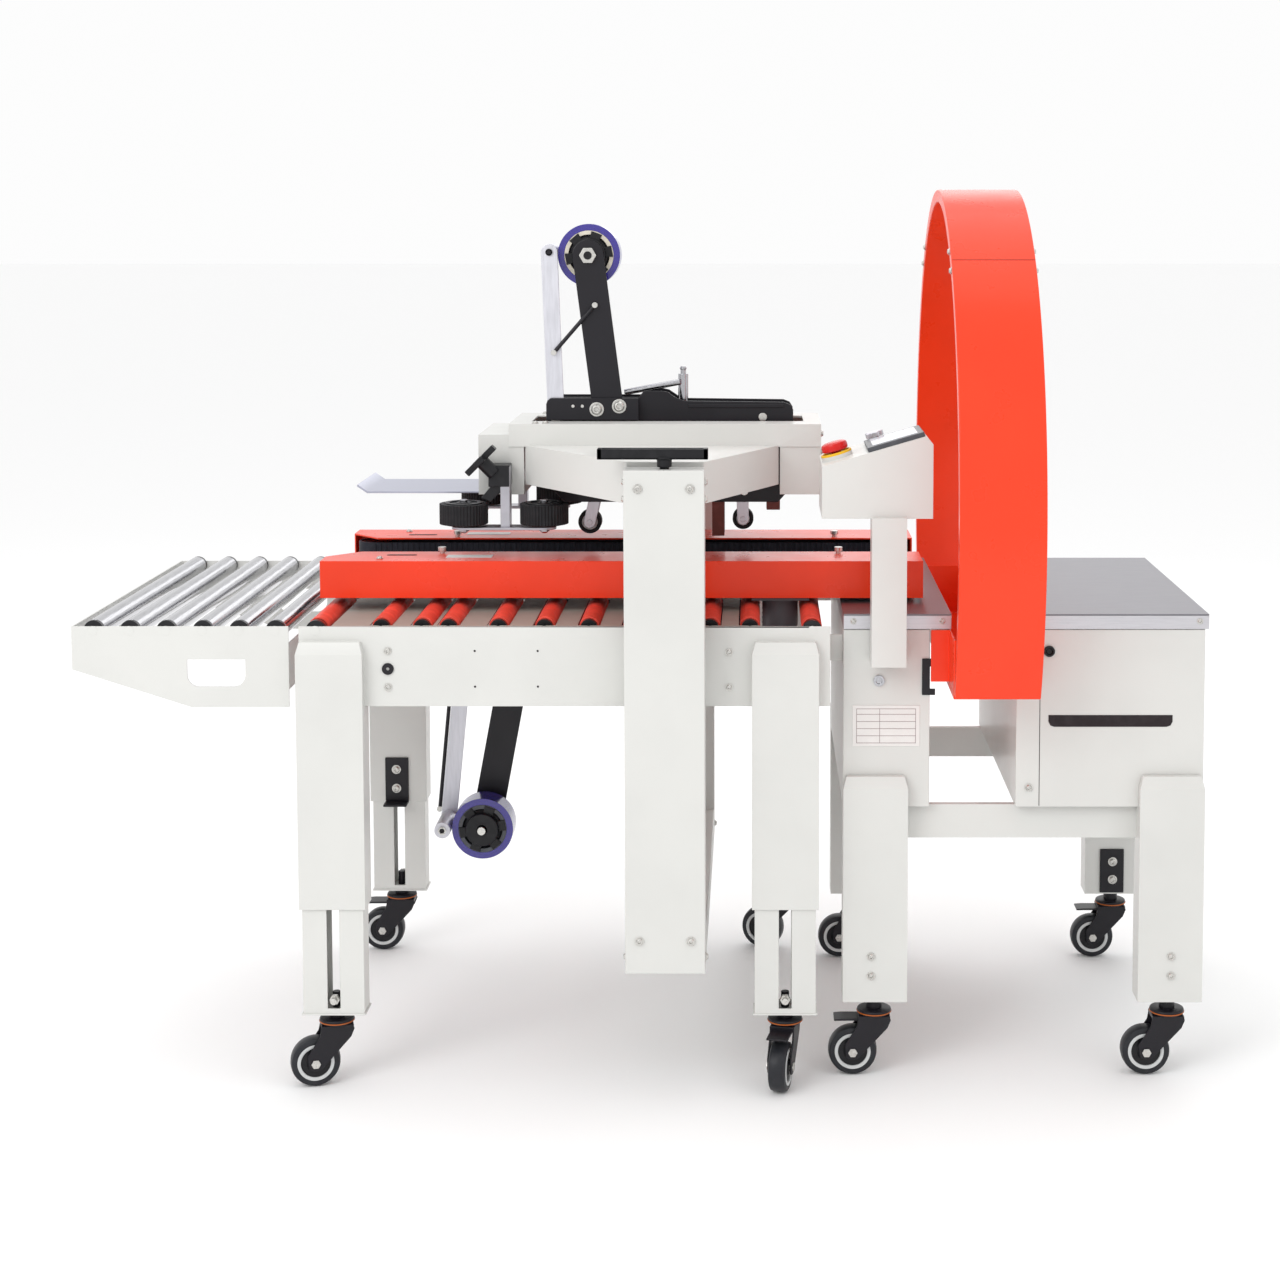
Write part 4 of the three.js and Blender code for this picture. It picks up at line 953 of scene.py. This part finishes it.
def make_press_set(sign, side_name):
    carrier = "press_carrier_" + side_name
    body = BODY_OF[carrier]
    y = sign * PRESS_Y
    bar = Piece(f"press_bar_{side_name}", body, STAINLESS, 0.9)
    bar.prism("z", round_ended((PRESS_XS[0], y), (PRESS_XS[1], y), 19.0), (822.4, 826.8))
    bar.box((-231, -216), (y - 13, y + 13), (826, 922)).rod("y", 7.8, mirrored(sign, 22, 110), -233, 905)
    bar.done(carrier)
    domes = Piece(f"press_dome_nuts_{side_name}", body, ZINC, 0.4, 1)
    for x in PRESS_XS:
        domes.hexagon("z", 14, (818.6, 822.3), x, y)
        domes.lathe("z", [(0, 815.2), (3.2, 815.8), (5.4, 817.6), (6.0, 819), (0, 819)], x, y, 32)
        domes.rod("z", 5.8, (822, 868.6), x, y, 28)
        domes.hexagon("z", 12, (866.2, 868.8), x, y)
    domes.done()
    clamp = Piece(f"press_clamp_{side_name}", body, PLASTIC, 1.4, 3)
    clamp.box((-249.5, -216.5), mirrored(sign, 104.5, 143.5), (890, 924))
    clamp.prism("y", CLAMP_FOOT, mirrored(sign, 112, 140)).done()
    knob = Piece(f"press_knob_{side_name}", body, PLASTIC, 1.6, 3)
    tilt = Matrix.Rotation(math.radians(-45), 4, "Y")
    knob.box((-30, 30), (-9, 9), (0, 10))
    knob.box((-9, 9), (-30, 30), (0, 10))
    knob.rod("z", 11, (-26, 2), 0, 0)
    knob.turned(Matrix.Translation(Vector((-258, sign * 140, 928)) * MM) @ tilt).done()
    for x, end_name in zip(PRESS_XS, ("left", "right")):
        node = f"press_wheel_{side_name}_{end_name}"
        wheel = Piece(f"press_{side_name}_{end_name}_grip_wheel", BODY_OF[node], RUBBER, 0.6, 2)
        ribbed(wheel, x, y, 38.0, (831, 863), 44, 1.1)
        wheel.done(node)
        hub = Piece(f"press_{side_name}_{end_name}_hub", BODY_OF[node], PLASTIC, 0.8)
        hub.tube("z", 30, 22, (829.2, 864.8), x, y).tube("z", 12, 6.5, (829.2, 864.8), x, y).done()


# ---- strapping machine ----
def make_table(node):
    """A steel sheet laid on a paler folded band."""
    low, high = span(node)
    x, y, fold = (low.x, high.x), (low.y, high.y), 2.4
    Piece(node + "_sheet", MAIN, TABLE_STEEL, 0.8).box(x, y, (high.z - 2.2, high.z)).done()
    band = Piece(node + "_band", MAIN, BAND_STEEL, 0.6)
    ring, hole = ([
        (x[0] + inset, y[0] + inset), (x[1] - inset, y[0] + inset), (x[1] - inset, y[1] - inset),
        (x[0] + inset, y[1] - inset),
    ] for inset in (0.0, fold))
    ring_prism(band, ring, hole, (low.z, high.z - 2.3))
    band.done(node)


CABINET_FACE = -279.0
LOCK, LATCH = (355, 612), (612, 657)
VENT_SLOT = [
    (612, 559), (800, 559), (800, 549), (797, 543), (791, 541), (621, 541), (615, 543), (612, 549),
]
HEAD_CATCH = [(420, 590), (440, 590), (440, 600), (432, 600), (432, 634), (440, 634), (440, 646), (420, 646)]
RULE_HEIGHTS, RULE_PLACES, RULE = (516, 527, 538, 549, 560, 568.4), (321, 356, 410.3), 0.7
STRAP_LEG_FACE = 296


def make_strapper():
    refined("strapper_base", CREAM, 1.4)
    for side_name in ("left", "right"):
        refined("cabinet_" + side_name, CREAM, 1.4)
        make_table("table_" + side_name)
    refined("arch_base", ORANGE, 1.4)
    near = CABINET_FACE
    table_low, table_high = span("table_right")
    screws = Piece("strapper_screws", MAIN, BOLT_STEEL, 0.3, 1)
    for x in (344, 800):
        for z in (190, 160):
            for sign, _ in SIDES:
                screws.bolt("y", x, z, sign * STRAP_LEG_FACE, sign, 5.0)
    for x in (316, 450, table_low.x + 12, table_high.x - 14):
        screws.bolt("y", x, 703, table_low.y, -1, 3.6)
    for x, z in ((583, 447), (583, 667)):
        screws.bolt("y", x, z, near, -1, 5.0)
    screws.done()
    locks = Piece("cabinet_locks", MAIN, ZINC, 0.4)
    locks.tube("y", 8.5, 4.5, (near - 3.5, near + 1), *LOCK)
    locks.rod("y", 4.6, (near - 2.0, near + 1), *LOCK).done()
    knob = Piece("cabinet_latch", MAIN, PLASTIC, 1.0)
    knob.tube("y", 8.5, 5.0, (near - 4.0, near + 1), *LATCH)
    knob.rod("y", 4.9, (near - 2.5, near + 1), *LATCH).done()
    Piece("cabinet_seams", MAIN, DARK, 0.0).box((598.4, 599.4), (near - 0.25, near + 0.3), (419, 690)).done()
    # painted shade: a dark sheet on the face stands for the shade inside the vent slot
    Piece("cabinet_vent_slot", MAIN, DARK, 0.0).prism("y", VENT_SLOT, (near - 0.5, near + 0.3)).done()
    plate = Piece("rating_plate", MAIN, PLATE_WHITE, 0.3, 1)
    plate.box((315, 417), (near - 1.0, near + 0.2), (511, 574)).done()
    rules = Piece("rating_plate_rules", MAIN, PLATE_LINE, 0.0)
    for z in RULE_HEIGHTS:
        rules.box((321, 411), (near - 1.25, near - 0.9), (z, z + RULE))
    for x in RULE_PLACES:
        rules.box((x, x + RULE), (near - 1.25, near - 0.9), (516, 569.1))
    rules.done()
    latch = Piece("strapper_head_catch", MAIN, BLACK_STEEL, 1.0)
    latch.prism("y", HEAD_CATCH, (near - 2.6, near - 0.4)).done()
    root = Piece("arch_root_cover", MAIN, ORANGE, 1.6, 3)
    root.box((462, 557), (-384, -285), (606, 640)).box((433, 462), (-284, -281.6), (611, 690)).done()
    docking = Piece("docking_brackets", MAIN, CREAM, 0.8)
    for sign, _ in SIDES:
        docking.box((276, 300.6), mirrored(sign, 262, 266), (640, 680))
    docking.done()
    Piece("strapper_lock_plate", MAIN, BLACK_STEEL, 1.0).box((776, 818), (243.4, 246.8), (122, 200)).done()
    plate_bolts = Piece("strapper_lock_plate_bolts", MAIN, BOLT_STEEL, 0.3, 1)
    for z in (146, 178):
        plate_bolts.bolt("y", 798, z, 243.4, -1, 6.0)
    plate_bolts.done()


ARCH_CENTRE, ARCH_WALL, ARCH_STEPS = 850.0, 20.0, 144
ARCH_SEAM, ARCH_BOLT_RISES = 1247.0, (-16, 12)


def make_arch():
    """The strap guide: a flanged elliptical band with a seam and bolt pairs where its halves meet."""
    low, high = span("arch")
    half_y, half_z = high.y, high.z - ARCH_CENTRE
    centre, wall, seam_z = ARCH_CENTRE, ARCH_WALL, ARCH_SEAM
    start = math.asin((low.z - centre) / half_z)
    band = Piece("arch_band", MAIN, ORANGE, 1.6, 3)
    outer, inner = [], []
    for step in range(ARCH_STEPS + 1):
        t = start + (math.pi - 2 * start) * step / ARCH_STEPS
        outer.append((half_y * math.cos(t), centre + half_z * math.sin(t)))
        inner.append(((half_y - wall) * math.cos(t), max(low.z, centre + (half_z - wall) * math.sin(t))))
    sections = []
    for (oy, oz), (iy, iz) in zip(outer, inner):
        sections.append([
            band.mesh.verts.new(Vector((x, y, z)) * MM)
            for x, y, z in ((low.x, oy, oz), (high.x, oy, oz), (high.x, iy, iz), (low.x, iy, iz))
        ])
    for first, second in zip(sections, sections[1:]):
        band.bridge(first, second, 4)
    band.mesh.faces.new(sections[0])
    band.mesh.faces.new(sections[-1])
    band.done("arch")
    seam_turn = math.asin((seam_z - centre) / half_z)
    seam_y = half_y * math.cos(seam_turn)
    for sign, side_name in SIDES:
        seam = Piece(f"arch_seam_{side_name}", MAIN, DARK, 0.0)
        seam.box((low.x + 1, high.x - 1), sorted((sign * (seam_y - 4), sign * (seam_y + 0.35))),
                 (seam_z - 0.5, seam_z + 0.5))
        seam.done()
        bolts = Piece(f"arch_bolts_{side_name}", MAIN, BOLT_STEEL, 0.3, 1)
        for rise in ARCH_BOLT_RISES:
            t = math.asin((seam_z + rise - centre) / (half_z - wall / 2))
            y = sign * (half_y - wall / 2) * math.cos(t)
            bolts.bolt("x", y, seam_z + rise, low.x, -1, 4.2)
            bolts.bolt("x", y, seam_z + rise, high.x, 1, 4.2)
        bolts.done()


PANEL_LOW = 942.0  # height of the sloping panel's left edge
SCREEN_PLACE, ESTOP_PLACE, KNOB_PLACE = (116, -258), (26, -262), (90, -184)  # along the slope, and Y
ESTOP_HEAD = [
    (0, -2), (7.8, -2), (7.8, 11), (16.5, 11), (19.6, 12.6), (20, 15), (20, 19), (18.6, 22.6), (14, 24.6),
    (0, 24.9),
]


def make_control_box():
    refined("control_box", CREAM, 2.4, 4)
    left = span("control_box")[0].x
    travel = Vector(JOINTS["estop_press"]["axis"])
    slope = math.atan2(-travel.x, travel.z)
    tilt = Matrix.Rotation(-slope, 4, "Y")

    def on_panel(piece, along, across):
        """Moves a piece made round the origin to a place on the sloping panel."""
        place = Vector((left + along * math.cos(slope), across, PANEL_LOW + along * math.sin(slope)))
        return piece.turned(Matrix.Translation(place * MM) @ tilt)

    bezel = Piece("display_bezel", MAIN, FRAME_GREY, 1.4, 3)
    bezel.box((-44, 44), (-56, 56), (-0.5, 7))
    on_panel(bezel, *SCREEN_PLACE).done()
    screen = Piece("display_screen", MAIN, SCREEN, 0.4)
    screen.box((-35, 35), (-46, 46), (6.5, 7.7))
    on_panel(screen, *SCREEN_PLACE).done()
    ring = Piece("estop_collar", MAIN, SIGNAL_YELLOW, 1.2, 3)
    ring.lathe("z", [(20.8, 5.1), (23.6, 5.1), (23.6, 9.6), (20.8, 9.6)], 0, 0, 64, closed=True)
    on_panel(ring, *ESTOP_PLACE).done()
    seat = Piece("estop_seat", MAIN, ("black_rubber", PLATE_WHITE[1]), 0.8)
    seat.tube("z", 23.0, 10, (-0.5, 5.0), 0, 0)
    on_panel(seat, *ESTOP_PLACE).done()
    head = Piece("estop_mushroom", "estop", SIGNAL_RED, 0.0)
    head.lathe("z", ESTOP_HEAD, 0, 0, 64)
    on_panel(head, *ESTOP_PLACE).done("estop_button")
    knob = Piece("panel_star_knob", MAIN, ALUMINIUM, 1.0)
    knob.rod("z", 5, (-2, 8), 0, 0)
    outline = []
    for step in range(60):
        t = 2 * math.pi * step / 60
        reach = 12.5 + 2.6 * math.cos(5 * t)
        outline.append((reach * math.cos(t), reach * math.sin(t)))
    knob.prism("z", outline, (6, 14))
    on_panel(knob, *KNOB_PLACE).done()
    bolts = Piece("control_post_bolts", MAIN, BOLT_STEEL, 0.3, 1)
    for z in (664, 700):
        bolts.rod("y", 4.5, (-282, -279), 367, z, 20)
    bolts.done()


make_stage()
make_conveyor()
for side in ("near", "far"):
    for end in ("left", "right"):
        make_leg(side, end)
for caster in sorted(name[len("caster_fork_"):] for name in NODES if name.startswith("caster_fork_")):
    make_caster(caster)
make_lift()
make_head()
make_top_tape_head()
make_bottom_tape_head()
for which, side in SIDES:
    make_belt_unit(which, side)
    make_press_set(which, side)
make_strapper()
make_arch()
make_control_box()
